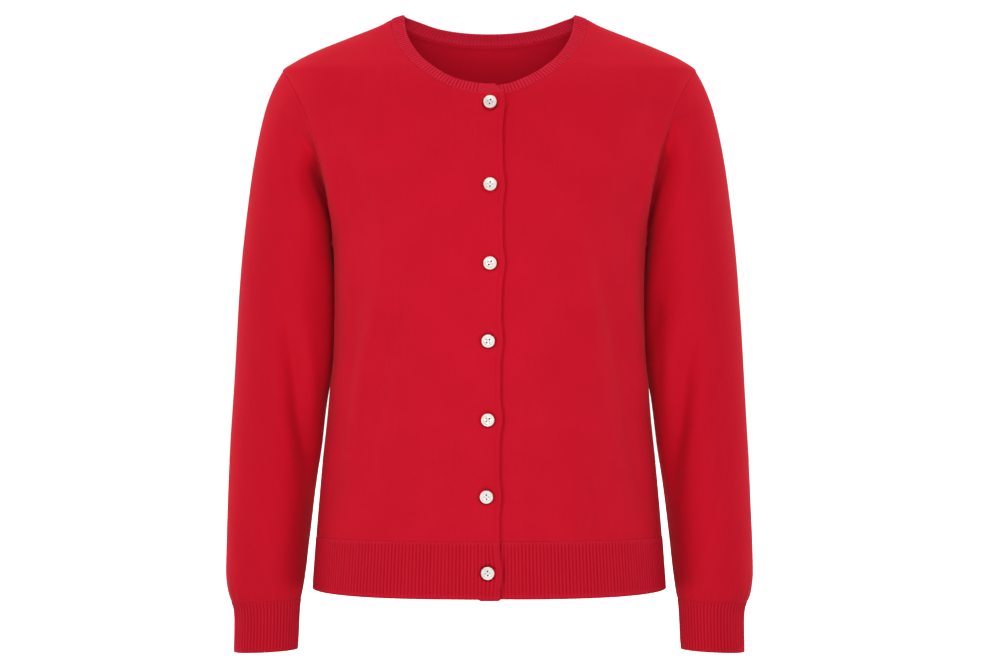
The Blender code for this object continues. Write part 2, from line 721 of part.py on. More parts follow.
def button_mesh(material):
    """A turned button with four holes cut through, its back at z = 0 and its face up."""
    profile = bmesh.new()
    radius, thickness = BUTTON_RADIUS * MM, BUTTON_THICKNESS * MM
    corners = [profile.verts.new((r * radius, 0, t * thickness)) for r, t in BUTTON_PROFILE]
    edges = [profile.edges.new(pair) for pair in zip(corners, corners[1:])]
    bmesh.ops.spin(
        profile,
        geom=corners + edges,
        cent=(0, 0, 0),
        axis=(0, 0, 1),
        angle=2 * math.pi,
        steps=BUTTON_SIDES,
        use_merge=True,
    )
    bmesh.ops.remove_doubles(profile, verts=profile.verts, dist=1e-6)
    bmesh.ops.recalc_face_normals(profile, faces=profile.faces)
    blank = bpy.data.meshes.new("button_blank")
    profile.to_mesh(blank)
    profile.free()
    drill = bmesh.new()
    for x in (-1, 1):
        for y in (-1, 1):
            made = bmesh.ops.create_cone(
                drill,
                cap_ends=True,
                segments=HOLE_SIDES,
                radius1=BUTTON_HOLE_RADIUS * MM,
                radius2=BUTTON_HOLE_RADIUS * MM,
                depth=4 * BUTTON_THICKNESS * MM,
            )
            place = (x * BUTTON_HOLE_PITCH / 2 * MM, y * BUTTON_HOLE_PITCH / 2 * MM, 0)
            bmesh.ops.translate(drill, verts=made["verts"], vec=place)
    holes = bpy.data.meshes.new("button_holes")
    drill.to_mesh(holes)
    drill.free()
    turned = add_object("button_blank", blank, material)
    cutter = add_object("button_holes", holes, material)
    cut = turned.modifiers.new("holes", "BOOLEAN")
    cut.operation = "DIFFERENCE"
    cut.object = cutter
    graph = bpy.context.evaluated_depsgraph_get()
    mesh = bpy.data.meshes.new_from_object(turned.evaluated_get(graph))
    mesh.name = "button"
    for helper in (turned, cutter):
        bpy.data.objects.remove(helper)
    mesh.shade_smooth()
    mesh.set_sharp_from_angle(angle=BUTTON_SHARP_ANGLE)
    return mesh


def make_buttons(material):
    mesh = button_mesh(material)
    for index, (drop, x) in enumerate(BUTTON_PLACES):
        turn = turn_at(np.array(x), np.array(drop))
        seat, normal = torso(turn, np.array(drop)), torso_normal(turn, np.array(drop))
        cloth_slope = math.atan2(normal[2], -normal[1])
        tilt = cloth_slope * BUTTON_UPRIGHT
        ridge = RIB_RELIEF if drop > RIB_TOP_DROP else 0
        rim = BUTTON_BACK_RADIUS * math.sin(abs(cloth_slope - tilt))
        stand_off = PLACKET_LIFT + ridge + BUTTON_STAND_OFF + rim
        button = add_object(f"button_{index + 1}", mesh, material)
        button.location = (seat + stand_off * normal) * MM
        button.rotation_euler = (math.pi / 2 - tilt, 0, 0)


def main():
    for obj in list(bpy.data.objects):
        bpy.data.objects.remove(obj)
    jersey = make_material("red fine jersey", (0.60, 0.010, 0.026), 0.85)
    ribbing = make_material("red ribbing", (0.50, 0.008, 0.020), 0.88)
    pearl = make_material("white polyester button", (0.86, 0.87, 0.82), 0.3)
    make_front("right", jersey)
    make_front("left", jersey)
    make_back(jersey)
    make_neckband(ribbing)
    make_hem(ribbing)
    for side in ("right", "left"):
        make_sleeve(side, jersey)
        make_cuff(side, ribbing)
    make_buttons(pearl)


main()
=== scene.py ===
"""Looks of the button cardigan: fine red jersey and ribbing, and white four-hole buttons.

Every piece of cloth is one closed shell on the form of its solid, worked out from the same sections and
lines. The tables hold millimetres, the scene holds metres: +Z is up, the front faces -Y and the wearer's
left is +X. "drop" is the distance below the origin, which is midway between the two neck points.
"""

import math

import bmesh
import bpy
import numpy as np
from mathutils import Matrix, Vector


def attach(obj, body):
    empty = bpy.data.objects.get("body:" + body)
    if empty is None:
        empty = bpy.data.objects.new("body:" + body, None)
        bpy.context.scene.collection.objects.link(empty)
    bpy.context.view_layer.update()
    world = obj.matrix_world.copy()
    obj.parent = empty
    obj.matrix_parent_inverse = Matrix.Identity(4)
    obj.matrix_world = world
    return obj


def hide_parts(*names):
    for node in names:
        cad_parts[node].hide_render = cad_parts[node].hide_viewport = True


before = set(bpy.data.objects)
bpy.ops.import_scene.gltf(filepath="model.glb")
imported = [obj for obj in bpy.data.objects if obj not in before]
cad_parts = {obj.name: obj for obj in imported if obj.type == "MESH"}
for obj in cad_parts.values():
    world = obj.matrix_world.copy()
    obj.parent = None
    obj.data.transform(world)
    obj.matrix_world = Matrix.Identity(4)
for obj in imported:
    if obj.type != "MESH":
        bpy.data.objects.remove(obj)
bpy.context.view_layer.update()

MM = 0.001

# Cloth
WALL = 1.6
RIB_WALL = 1.8
KNIT_ON_ROUNDING = 0.2  # where ribbing grows out of the jersey, its edge is hardly rounded
SEAM_ROUNDING = 0.45
BAND_SEAM_ROUNDING = 0.5
PLACKET_ROUNDING = 0.8
RIB_ROUNDING = 0.9
SEAM_ALLOWANCE = 3.6  # on the inside, along each seam
SEAM_ALLOWANCE_HEIGHT = 0.7
SEAM_BLEND = 6.0  # before a seam, over which the cloth turns into the seam's own direction
FOLD_FADE = 12.0  # before a seam, over which the body's folds die away
BULGE_FADE = 5.0

# Ribbing
RIB_HEIGHT = 0.36  # from the middle of a rib's side to its ridge
BAND_RIB_HEIGHT = 0.9 * RIB_HEIGHT
RIB_SHARPNESS = 2.3
HEM_RIB_PITCH = 3.6
CUFF_RIB_PITCH = 3.4
BAND_RIB_PITCH = 3.5
RIB_START = 2.2  # below the jersey, over which the ribs grow to their height
RIB_END_SHARE = 0.55  # of their height, left at the edge
CAST_ON_LINE = 5.0  # above the edge
CAST_ON_BREADTH = 0.8
HEM_CAST_ON_DEPTH = 0.15
CUFF_CAST_ON_DEPTH = 0.2
# Courses of the hem with a painted highlight: distance from the jersey or from the edge, and height
COURSES_BELOW_JERSEY = [(1.8, 0.9)]
COURSES_ABOVE_EDGE = [(3, 0.7)]
COURSE_BREADTH = 1.1

# Body lengths
SHOULDER_DROP = 58.0
UNDERARM_DROP = 229.5
RIB_TOP_DROP = 521.0
HEM_DROP = 577.3
HEM_SIDE_RISE = 3.8
HEM_CORNER_DIP = 1.3  # the upper front hangs a little lower at its corner, between these places
DIP_START_X = -11.0
DIP_START_LENGTH = 4.0
DIP_END_X = 7.5
DIP_END_LENGTH = 6.5

# Neckband: half width and front and back reach of its free edge and of its seam
NECK_EDGE = {"half_width": 85.0, "front": 83.0, "back": 45.0}
NECK_SEAM = {"half_width": 98.0, "front": 88.6, "back": 55.0}
NECK_SQUARENESS = 2.15
BAND_WIDTH = 13.0
ARMHOLE_HALF_DEPTH = 54.0

# Front opening
PLACKET_NECK_X = 14.5
PLACKET_PAST_BUTTONS = 12.2
EDGE_SWELL = 2.5
EDGE_SWELL_SPREAD = 13.0
EDGE_SWELL_START = 7.0  # below the neck corner, over which the edge takes up its line
UNDERLAP_X = 14.0
PLACKET_LIFT = 1.3
PLACKET_SINK = 1.5
LIFT_START_X = -38.0
LIFT_END_X = -16.0
SINK_START_X = 38.0
SINK_END_X = 18.0
BAND_END_SLANT = 8.5
BAND_SLANT_REACH = 0.2
BAND_PLAIN_LENGTH = 21.0
BORDER_WIDTH = 4.7  # the strip that finishes the upper front's edge
BORDER_CROWN = 0.35
BORDER_CROWN_PLACE = 0.48  # of its width
BORDER_CROWN_BREADTH = 1.9
BORDER_GROOVE = 0.55
BORDER_GROOVE_BREADTH = 0.6
BORDER_START = 2.0  # below the neck corner, over which the strip rises
EDGE_HOLLOW = 2.2  # in the lower front, along the upper one's edge
EDGE_HOLLOW_PAST = 0.3
EDGE_HOLLOW_BREADTH = 1.5
EDGE_GIVE = 18.0  # width of ribbing that gives way as the edge beside it swells

# Buttons
BUTTON_RADIUS = 6.4
BUTTON_THICKNESS = 2.6
BUTTON_PLACES = [
    (95.2, 1.1),
    (175.6, 1.3),
    (251.7, 1.2),
    (326.8, -0.6),
    (403.0, -1.0),
    (477.6, -2.3),
    (551.4, -1.1),
]
BUTTON_TURNS = [32, 40, 10, 2, -5, 48, 50]  # degrees, as each came to be sewn
BUTTON_HOLE_RADIUS = 0.88
BUTTON_HOLE_PITCH = 2.8
BUTTON_UPRIGHT = 0.5
BUTTON_STAND_OFF = 0.3
BUTTON_FOOT = 0.86  # of its radius: the rim of its back, which rests on the cloth as it tilts
RIB_RELIEF = 0.3  # of the hem, under the lowest button
THREAD_RADIUS = 0.32

# Cloth round a button: it is drawn in, deepest in a groove under the rim, with level creases beside it
PULL_DEPTH = 0.9
PULL_REACH = 7.9
RIM_GROOVE_DEPTH = 2.6
RIM_GROOVE_RADIUS = 7.1
RIM_GROOVE_BREADTH = 1.05
PULL_CREASE_HEIGHT = 0.3
PULL_CREASE_TURN = 0.95  # radians a millimetre
PULL_CREASE_ACROSS = 15.0
PULL_CREASE_DOWN = 9.0
# Painted shade: a dark ring in the cloth's colour at each button's rim, its radius, half breadth and depth
SHADE_RING_RADIUS = 6.9
SHADE_RING_BREADTH = 0.9
PAINTED_SHADE_DEPTH = 3.0  # as the relief that the colour follows, which is 1 on a rib's ridge and -1 in its furrow

# Rows of a panel's grid, from the shoulder: where a front's neck seam, the armhole and the jersey end
NECK_ROW = 7
UNDERARM_ROW = 12
LAST_ROW = 22
ROW_STEP = 0.12
UPPER_ROW_LENGTH = 20.0  # roughly, in mm a row
LOWER_ROW_LENGTH = 29.0

# Fineness of the grids
STEP = 2.5
HEM_ROWS = 17
BUTTONED_HEM_ROWS = 44
BAND_ROWS = 6
CUFF_ROWS = 18
BACK_COLUMNS = 72
BACK_HALF_GIRTH = 220.0  # roughly
EDGE_STEPS = [0, 0.1, 0.25, 0.45, 0.75, 1.2, 1.9]
BORDER_STEPS = [2.6, 3.2, 3.6, 3.9, 4.2, 4.5, 4.7, 4.9, 5.2, 5.6, 6.2, 7.2]
BUTTON_STEP = 1.1
BUTTON_STEPS = [8.2 + BUTTON_STEP * step for step in range(15)]
LAP_STEPS = [4.4 + 2.3 * step for step in range(8)] + [22.2 + 0.7 * step for step in range(15)]
# Columns round a sleeve, and the angle that each run of them reaches: closest by its seam and in front
ARM_COLUMNS = [(0, -180), (5, -174), (65, 35), (145, 172), (150, 180)]
RIB_PHASES = np.array([0, 0.13, 0.3, 0.5, 0.7, 0.87])  # of a rib's columns, from furrow to furrow
GUIDE_POINTS = 600
SETTLE_STEPS = 40
SMALL_TURN = 1e-3  # steps from which normals are worked out
SMALL_DROP = 0.05
SMALL_RING = 2e-3


def smooth(places, knots, values):
    """Monotone cubic curve through (knots, values), read at places."""
    steps = np.diff(knots)
    slopes = np.diff(values) / steps
    before, after = slopes[:-1], slopes[1:]
    total = np.where(before + after == 0, 1, before + after)
    inner_tangents = np.where(before * after > 0, 2 * before * after / total, 0)
    tangents = np.concatenate([slopes[:1], inner_tangents, slopes[-1:]])
    places = np.asarray(places, float)
    row = np.clip(np.searchsorted(knots, places, side="right") - 1, 0, len(steps) - 1)
    share = (places - knots[row]) / steps[row]
    cubic = share**2 * (3 - 2 * share)
    bend = (1 - share) * tangents[row] - share * tangents[row + 1]
    return values[row] + (values[row + 1] - values[row]) * cubic + steps[row] * share * (1 - share) * bend


def ease(share):
    """Smooth step from 0 to 1."""
    share = np.clip(share, 0, 1)
    return share**2 * (3 - 2 * share)


def unit(vectors):
    return vectors / np.linalg.norm(vectors, axis=-1, keepdims=True)


def put_in_scene(name, data):
    """A new object of this data, at the scene's origin."""
    obj = bpy.data.objects.new(name, data)
    bpy.context.scene.collection.objects.link(obj)
    return obj


class Sections:
    """A table with a row for each section, read between its rows along its first column."""

    def __init__(self, columns, rows):
        self.values = dict(zip(columns, np.array(rows, float).T))
        self.knots = self.values[columns[0]]

    def at(self, name, places):
        return smooth(places, self.knots, self.values[name])


TORSO = Sections(
    ("drop", "half_width", "front_depth", "back_depth", "centre_y", "squareness"),
    [
        (0, 82, 3, 18, 0, 2.2),
        (4, 94.5, 12, 34.5, 0, 2.2),
        (12, 110, 21, 41.5, 0, 2.2),
        (24, 140, 34, 52, 0, 2.2),
        (36, 169.5, 47, 62, 0, 2.2),
        (48, 194, 59, 70, 0, 2.2),
        (58, 206.8, 69, 76, 0, 2.2),
        (76, 206.8, 83, 83, 0, 2.2),
        (93, 204.5, 92, 89, 0, 2.2),
        (117, 198, 100, 94, 0, 2.2),
        (144, 187.5, 107.5, 98, -1, 2.2),
        (170, 177, 112.5, 100, -2, 2.2),
        (194, 167, 115.5, 101, -3, 2.25),
        (213, 160, 117, 101, -4, 2.25),
        (226, 156.6, 118, 101, -5, 2.25),
        (245, 154.8, 118.5, 100, -6, 2.3),
        (285, 154.2, 118, 97, -7, 2.3),
        (343, 155.4, 116, 96, -7, 2.3),
        (372, 158.6, 115, 96.5, -7, 2.3),
        (406, 161.6, 114, 98, -6, 2.3),
        (456, 166.8, 112.5, 102, -5, 2.3),
        (521, 172.4, 112, 107, -4, 2.3),
        (576, 176.5, 112, 110, -3, 2.3),
    ],
)

ARM = Sections(
    ("ring", "outer_x", "outer_drop", "inner_x", "inner_drop", "half_depth", "centre_y"),
    [
        (0, 206.8, 58, 155.9, 229.5, 54, 0),
        (1, 214.5, 72, 156.5, 236, 50, 1),
        (2, 222.6, 92, 156.4, 244, 47.5, 4),
        (3, 230, 120, 155.8, 255, 47.5, 7),
        (4, 237, 156, 154.6, 270, 49, 11),
        (5, 243, 200, 153.6, 290, 50.5, 15),
        (6, 248.8, 254, 153.4, 316, 50, 17),
        (7, 253.0, 312, 154.8, 346, 47.5, 17),
        (8, 256.0, 370, 161.6, 386, 44.5, 13),
        (9, 259.0, 425, 168.0, 430, 42, 8),
        (10, 261.2, 480, 175.6, 480, 39.5, 2),
        (11, 262.6, 530, 181.4, 530, 37.5, -4),
        (12, 262.8, 556, 184.0, 556, 36, -7),
        (13, 261.0, 574, 186.0, 573, 34, -8),
        (14, 257.4, 586, 187.8, 583.5, 31, -9),
        (15, 254.8, 594, 188.8, 591.5, 29.5, -9),
        (16, 254.0, 606, 189.5, 603, 28.5, -9),
        (17, 254.2, 622, 190.2, 619, 28, -9),
        (18, 254.6, 637, 191.0, 634, 28.5, -9),
    ],
)
ARM_SQUARENESS = 2.1
ARM_MM_A_DEGREE = 0.75
ARMHOLE_FADE = 4.5
# The sleeve's inner line tucks in behind the body's side, between these rings below the underarm
TUCK = np.array([-1.6, 20.0, 0.0])
TUCK_SHARPNESS = 6
TUCK_START_RING = 0.7
TUCK_END_RING = 8
TUCK_FADE_RINGS = 3
CUFF_RING = 14
WRIST_RING = 18

# Soft ridges (height above 0) and troughs (below 0), each from its upper end to its lower one. On the
# body, across is the distance from the centre to the wearer's left; on an arm it is the angle round it in
# degrees, 0 at the outer line, 90 in front.
FOLD_COLUMNS = ("drop", "across", "half_breadth", "height")
FRONT_FOLDS = [
    [
        (115, -146, 10, 0), (130, -141, 10, -1.8), (160, -134, 10, -2.1), (190, -124, 10, -1.5),
        (215, -116, 12, 0),
    ],
    [
        (270, -134, 8, 0), (300, -134, 9, -2.4), (380, -141, 10, -3.6), (460, -151, 8, -2.4),
        (505, -161, 7, 0),
    ],
    [(215, -104, 12, 0), (290, -108, 12, 3), (355, -124, 11, 3.6), (425, -136, 11, 2.1), (470, -142, 10, 0)],
    [
        (250, -88, 12, 0), (290, -90, 12, -2.1), (355, -106, 12, -2.8), (433, -114, 12, -1.8),
        (480, -118, 12, 0),
    ],
    [(66, 176, 9, 0), (80, 172, 10, -1.8), (100, 163, 10, -2.1), (120, 156, 10, -1.8), (145, 150, 10, 0)],
    [
        (205, 92, 12, 0), (228, 100, 12, -2.2), (287, 116, 12, -5), (345, 130, 12, -6.5),
        (405, 140, 11, -6.5), (463, 148, 9, -4), (500, 155, 9, 0),
    ],
    [(195, 84, 12, 0), (248, 94, 12, 2.4), (316, 108, 12, 2.6), (350, 114, 12, 1.6), (400, 120, 12, 0)],
    [(270, 140, 9, 0), (287, 141, 8, 2.2), (326, 146, 7, 3), (365, 152, 6, 2.6), (400, 156, 6, 0)],
    [(455, 100, 9, 0), (482, 105, 9, -2.1), (505, 108, 9, -2.1), (519, 109, 9, 0)],
]
# Where the cloth stands forwards along its sides, straight towards the front
FRONT_BULGES = [
    [
        (130, -165, 6, 0), (158, -160, 7, 4), (187, -155, 7, 7), (215, -148, 8, 7), (300, -143, 8, 6),
        (380, -146, 8, 4), (430, -150, 8, 0),
    ],
    [
        (130, 165, 6, 0), (158, 160, 7, 4), (187, 155, 7, 7), (215, 148, 8, 7), (280, 144, 8, 5),
        (340, 150, 7, 0),
    ],
]
BACK_FOLDS = [
    [(110, 148, 10, 0), (140, 141, 11, -2.8), (185, 128, 12, -2), (210, 122, 12, 0)],
    [(100, -156, 10, 0), (135, -146, 11, -2.4), (170, -134, 12, -2.8), (205, -124, 12, 0)],
    [(190, -96, 14, 0), (270, -106, 13, 4), (360, -120, 12, 4.8), (430, -132, 12, 2.8), (490, -140, 12, 0)],
    [(270, -128, 10, 0), (330, -134, 10, -4.8), (410, -146, 10, -5.6), (500, -158, 9, 0)],
    [(210, 98, 13, 0), (280, 110, 13, -5.2), (370, 126, 12, -6.6), (450, 142, 11, -4.8), (505, 150, 10, 0)],
    [(260, 78, 15, 0), (330, 88, 14, 3.2), (420, 98, 14, 2.8), (500, 104, 14, 0)],
    [(330, 12, 18, 0), (400, 4, 18, -2.8), (470, -4, 16, -2.4), (515, -8, 14, 0)],
    [(170, -30, 16, 0), (240, -44, 16, -2.2), (320, -52, 15, -2.6), (400, -50, 15, 0)],
]
ARM_FOLDS = {
    "right": [
        [
            (262, 84, 9, 0), (306, 93, 9, -5), (336, 100, 9, -8), (365, 109, 9, -9.5), (396, 118, 10, -10),
            (445, 135, 10, -5), (480, 142, 9, 0),
        ],
        [(300, 112, 9, 0), (330, 118, 8, 1), (360, 127, 7, 1.6), (385, 134, 7, 1.6), (415, 137, 6, 0)],
        [(110, 304, 8, 0), (135, 288, 8, -2.6), (170, 262, 9, -5), (205, 235, 9, -6), (250, 204, 9, 0)],
        [(240, 262, 14, 0), (320, 250, 13, -3), (400, 234, 13, -3.6), (480, 222, 12, 0)],
        [(300, 285, 14, 0), (370, 268, 13, 2.4), (450, 246, 12, 0)],
        [(325, 180, 16, 0), (360, 180, 16, -1.2), (395, 180, 16, -1), (430, 180, 16, 0)],
    ],
    "left": [
        [
            (170, 100, 10, 0), (188, 101.5, 10, -1.2), (227, 115, 10, -1.4), (256, 121.5, 9, -1.2),
            (290, 124, 9, 0),
        ],
        [(280, 136, 9, 0), (306, 138, 9, -3), (330, 146, 9, -2), (352, 152, 9, 0)],
        [
            (300, 89, 9, 0), (316, 92, 9, -3.5), (346, 101, 9, -7.5), (376, 110, 10, -10),
            (405, 118, 10, -10), (455, 134, 10, -5), (490, 140, 9, 0),
        ],
        [(305, 115, 8, 0), (331, 120, 7, 1.2), (365, 127, 7, 1.6), (395, 136, 7, 1.2), (425, 138, 7, 0)],
        [(105, 308, 8, 0), (130, 290, 8, -2.4), (165, 266, 9, -4.6), (205, 236, 9, -6), (250, 204, 9, 0)],
        [(250, 258, 14, 0), (330, 244, 13, -3.2), (410, 230, 13, -3.2), (490, 216, 12, 0)],
        [(280, 290, 14, 0), (350, 272, 13, 2.2), (440, 250, 12, 0)],
        [(325, 180, 16, 0), (360, 180, 16, -1.2), (395, 180, 16, -0.8), (430, 180, 16, 0)],
    ],
}
# Pressed straight back: the sharp crease beside the armhole, and the sleeve's inner side
ARM_CREASE = {
    "right": [
        (95, 42, 4, 0), (110, 56, 4, -2.5), (120, 67.5, 4, -5), (131, 77, 4.5, -13), (141, 84.5, 4.6, -23),
        (159, 95, 4.8, -38), (178, 109.5, 5, -45), (198, 127, 5.2, -46), (217, 143, 6, -44),
        (240, 159, 8, -22), (262, 165, 9, 0),
    ],
    "left": [
        (90, 38, 4, 0), (101, 49.5, 4, -2.5), (107, 59.5, 4, -5), (114, 68, 4, -9), (129, 77.5, 4.6, -19),
        (149, 89.5, 4.8, -32), (168, 102.5, 5, -36), (188, 117.5, 5.3, -39), (217, 140, 6, -43),
        (246, 158, 8, -20), (268, 162, 9, 0),
    ],
}
ARM_HOLLOW = {
    "right": [
        (300, 165, 24, 0), (345, 160, 24, -8), (395, 156, 26, -16), (450, 163, 26, -25), (500, 170, 27, -31),
        (545, 170, 27, -29), (583, 170, 28, 0),
    ],
    "left": [
        (300, 165, 24, 0), (345, 160, 24, -8), (395, 156, 26, -16), (450, 162, 26, -26), (500, 168, 27, -30),
        (545, 170, 27, -27), (583, 170, 28, 0),
    ],
}
FORWARDS = np.array([0.0, -1.0, 0.0])
ARM_FOLD_START = 4.0  # from the armhole seam, over which the sleeve's folds begin
CREASE_START = 2.5
UNEVEN_START_RINGS = 2
CUFF_BLEND = 5.0  # above the cuff, over which the cloth takes up the direction of the arm without folds
CREASE_SHARPNESS = 1.05
CREASE_SHADE = 0.053  # of the relief that the colour follows, for each mm of the crease's depth
CREASE_SHADE_END = 6.0  # above the underarm
CREASE_SHADE_FADE = 16.0
SLEEVE_SEAM_DEPTH = 0.45
SLEEVE_SEAM_BREADTH = 1.1
SLEEVE_SEAM_EVEN = 14.0  # beside the seam, over which the cloth's unevenness dies away
# Slanting waves of cloth that nothing holds flat: length, slant in radians, height
UNEVEN_WAVES = [(52, 0.3, 0.14), (67, -0.5, 0.18), (83, 1.1, 0.2), (108, -0.2, 0.26)]
UNEVEN_DRAWN_OUT = 0.45  # down the cloth they change at this share of the rate that they have across it


def folds(across, drop, tables, scale=1.0, power=2):
    """Height of the folds at a place.

    Each fold has its own line, half breadth and height at every drop, and adds its height times
    exp(-(distance from its line / its half breadth)^power): a power near 1 makes it sharp.
    """
    total = 0.0
    for rows in tables:
        fold = Sections(FOLD_COLUMNS, rows)
        level = np.clip(drop, fold.knots[0], fold.knots[-1])
        slope = scale * (fold.at("across", level + 0.5) - fold.at("across", level - 0.5))
        aside = scale * (across - fold.at("across", level)) / np.hypot(1, slope)
        share = np.abs(aside) / fold.at("half_breadth", level)
        total = total + fold.at("height", level) * np.exp(-(share**power))
    return total


def undulation(across, drop, seed):
    """Slight unevenness of cloth that nothing holds flat: the sum of slanting sine waves."""
    total = 0.0
    for index, (length, slant, height) in enumerate(UNEVEN_WAVES):
        along = across * math.cos(slant) + UNEVEN_DRAWN_OUT * drop * math.sin(slant)
        phase = 2 * math.pi * along / length
        total = total + height * np.sin(phase + 1.7 * seed + 2.1 * index)
    return total


def gathers(across, above, reach, length, height, seed):
    """Small upright gathers where ribbing draws the cloth in: two sine waves, the second the shorter one,
    that rise over the first 4 mm above it and die away over a reach."""
    phase = 2 * math.pi * across / length
    wave = np.sin(phase + seed) + 0.7 * np.sin(phase / 0.62 + 2 * seed)
    return height * wave * np.exp(-above / reach) * ease(above / 4)


# ---- the body's surface ----


def torso(turn, drop):
    """Outer surface of the body: each level section is the superellipse |x/width|^n + |y/depth|^n = 1.

    turn is 0 at the centre front and 90 degrees at the wearer's left side.
    """
    turn, drop = np.broadcast_arrays(turn, drop)
    square = TORSO.at("squareness", drop)
    reach = (np.abs(np.sin(turn)) ** square + np.abs(np.cos(turn)) ** square) ** (-1 / square)
    depth = np.where(np.cos(turn) > 0, TORSO.at("front_depth", drop), TORSO.at("back_depth", drop))
    x = TORSO.at("half_width", drop) * np.sin(turn) * reach
    y = TORSO.at("centre_y", drop) - depth * np.cos(turn) * reach
    return np.stack([x, y, -drop], axis=-1)


def torso_normal(turn, drop):
    """Outward normals of the body: a small step down its surface, crossed with a small step across it."""
    across = torso(turn + SMALL_TURN, drop) - torso(turn - SMALL_TURN, drop)
    down = torso(turn, drop + SMALL_DROP) - torso(turn, drop - SMALL_DROP)
    return unit(np.cross(down, across))


def turn_at(x, drop):
    """The turn at which the front of a section reaches x."""
    square = TORSO.at("squareness", drop)
    share = np.clip(np.abs(x) / TORSO.at("half_width", drop), 0, 1)
    return np.sign(x) * np.arctan2(share, (1 - share**square) ** (1 / square))


def settle(x, y):
    """(turn, drop) of the torso point straight below a plan point near the neck, by halving the drop."""
    high, low = np.zeros(x.shape), np.full(x.shape, UNDERARM_DROP)
    for _ in range(SETTLE_STEPS):
        drop = (high + low) / 2
        depth = np.where(y < 0, TORSO.at("front_depth", drop), TORSO.at("back_depth", drop))
        width = TORSO.at("half_width", drop)
        square = TORSO.at("squareness", drop)
        outside = np.abs(x / width) ** square + np.abs(y / depth) ** square > 1
        high, low = np.where(outside, drop, high), np.where(outside, low, drop)
    return np.arctan2(x / width, -y / depth), drop


def neckline(angle, across):
    """(turn, drop) round the neck: angle 0 is the front, across 0 the band's free edge and 1 its seam."""
    sine, cosine = np.sin(angle), np.cos(angle)
    reach = (np.abs(sine) ** NECK_SQUARENESS + np.abs(cosine) ** NECK_SQUARENESS) ** (-1 / NECK_SQUARENESS)

    def size(name):
        return NECK_EDGE[name] + (NECK_SEAM[name] - NECK_EDGE[name]) * across

    depth = np.where(cosine > 0, size("front"), size("back"))
    return settle(size("half_width") * sine * reach, -depth * cosine * reach)


def neck_angle(x, across):
    """The angle round the neck at which its front reaches x."""
    width = NECK_EDGE["half_width"] + (NECK_SEAM["half_width"] - NECK_EDGE["half_width"]) * across
    share = abs(x) / width
    return math.copysign(math.atan2(share, (1 - share**NECK_SQUARENESS) ** (1 / NECK_SQUARENESS)), x)


def armhole(angle):
    """(turn, drop) round the left armhole: 0 is the shoulder, 90 degrees the front, 180 the underarm."""
    middle = (SHOULDER_DROP + UNDERARM_DROP) / 2
    drop = middle - (UNDERARM_DROP - SHOULDER_DROP) / 2 * np.cos(angle)
    square = TORSO.at("squareness", drop)
    depth = np.where(np.sin(angle) > 0, TORSO.at("front_depth", drop), TORSO.at("back_depth", drop))
    side = ARMHOLE_HALF_DEPTH * np.sin(angle) / depth
    share = (1 - np.abs(side) ** square) ** (1 / square)
    return np.arctan2(share, side), drop


def placket_x(drop):
    """The upper front's free edge, which follows the buttons and swells beside each of them."""
    levels, places = zip(*BUTTON_PLACES)
    swell = sum(np.exp(-(((drop - level) / EDGE_SWELL_SPREAD) ** 2)) for level in levels)
    edge = np.interp(drop, levels, places) + PLACKET_PAST_BUTTONS + EDGE_SWELL * swell
    return PLACKET_NECK_X + (edge - PLACKET_NECK_X) * ease((drop - CORNER_DROP) / EDGE_SWELL_START)


def front_layer(x, upper):
    """How far a front rises or sinks where the two fronts lie on each other."""
    if upper:
        return PLACKET_LIFT * ease((x - LIFT_START_X) / (LIFT_END_X - LIFT_START_X))
    return -PLACKET_SINK * ease((SINK_START_X - x) / (SINK_START_X - SINK_END_X))


CORNER_DROP = float(neckline(np.array(-neck_angle(PLACKET_NECK_X, 1)), 1)[1])


# ---- the sleeve's surface ----


def plain_ring(angle, ring):
    """A ring of the arm, a superellipse: angle 0 is its outer line, 90 degrees the front, 180 the inner."""
    sine, cosine = np.sin(angle), np.cos(angle)
    reach = (np.abs(sine) ** ARM_SQUARENESS + np.abs(cosine) ** ARM_SQUARENESS) ** (-1 / ARM_SQUARENESS)
    outer = ARM.at("outer_x", ring), -ARM.at("outer_drop", ring)
    inner = ARM.at("inner_x", ring), -ARM.at("inner_drop", ring)
    x, z = ((o + i) / 2 + (o - i) / 2 * cosine * reach for o, i in zip(outer, inner))
    y = ARM.at("centre_y", ring) - ARM.at("half_depth", ring) * sine * reach
    return np.stack(np.broadcast_arrays(x, y, z), axis=-1)


def arm(angle, ring):
    """Outer surface of the left sleeve and cuff: plain rings that start from the armhole's own outline."""
    angle, ring = np.broadcast_arrays(angle, ring)
    seam = torso(*armhole(angle))
    own = np.clip(1 - ring / ARMHOLE_FADE, 0, 1)[..., None] ** 2
    by_inner_line = ((1 - np.cos(angle)) / 2) ** TUCK_SHARPNESS
    tuck = by_inner_line * ease(ring / TUCK_START_RING) * ease((TUCK_END_RING - ring) / TUCK_FADE_RINGS)
    tucked = tuck[..., None] * TUCK
    return plain_ring(angle, ring) + own * (seam - plain_ring(angle, np.zeros_like(ring))) + tucked


def arm_normal(angle, ring):
    """Outward normals of the arm: a small step round its surface, crossed with a small step down it."""
    across = arm(angle + SMALL_TURN, ring) - arm(angle - SMALL_TURN, ring)
    down = arm(angle, ring + SMALL_RING) - arm(angle, np.maximum(ring - SMALL_RING, 0))
    return unit(np.cross(across, down))


def arm_line(name, places):
    """The arm's outer or inner line in the front view, at these rings."""
    return np.stack([ARM.at(name + "_x", places), ARM.at(name + "_drop", places)], axis=-1)


def armhole_seam_normals(angle):
    """Normals of the armhole seam, which halve the angle between body and sleeve."""
    along = unit(torso(*armhole(angle + SMALL_TURN)) - torso(*armhole(angle - SMALL_TURN)))
    between = torso_normal(*armhole(angle)) + arm_normal(angle, np.zeros_like(angle))
    between -= along * (between * along).sum(axis=-1, keepdims=True)
    return unit(between)


# ---- cloth as closed shells ----


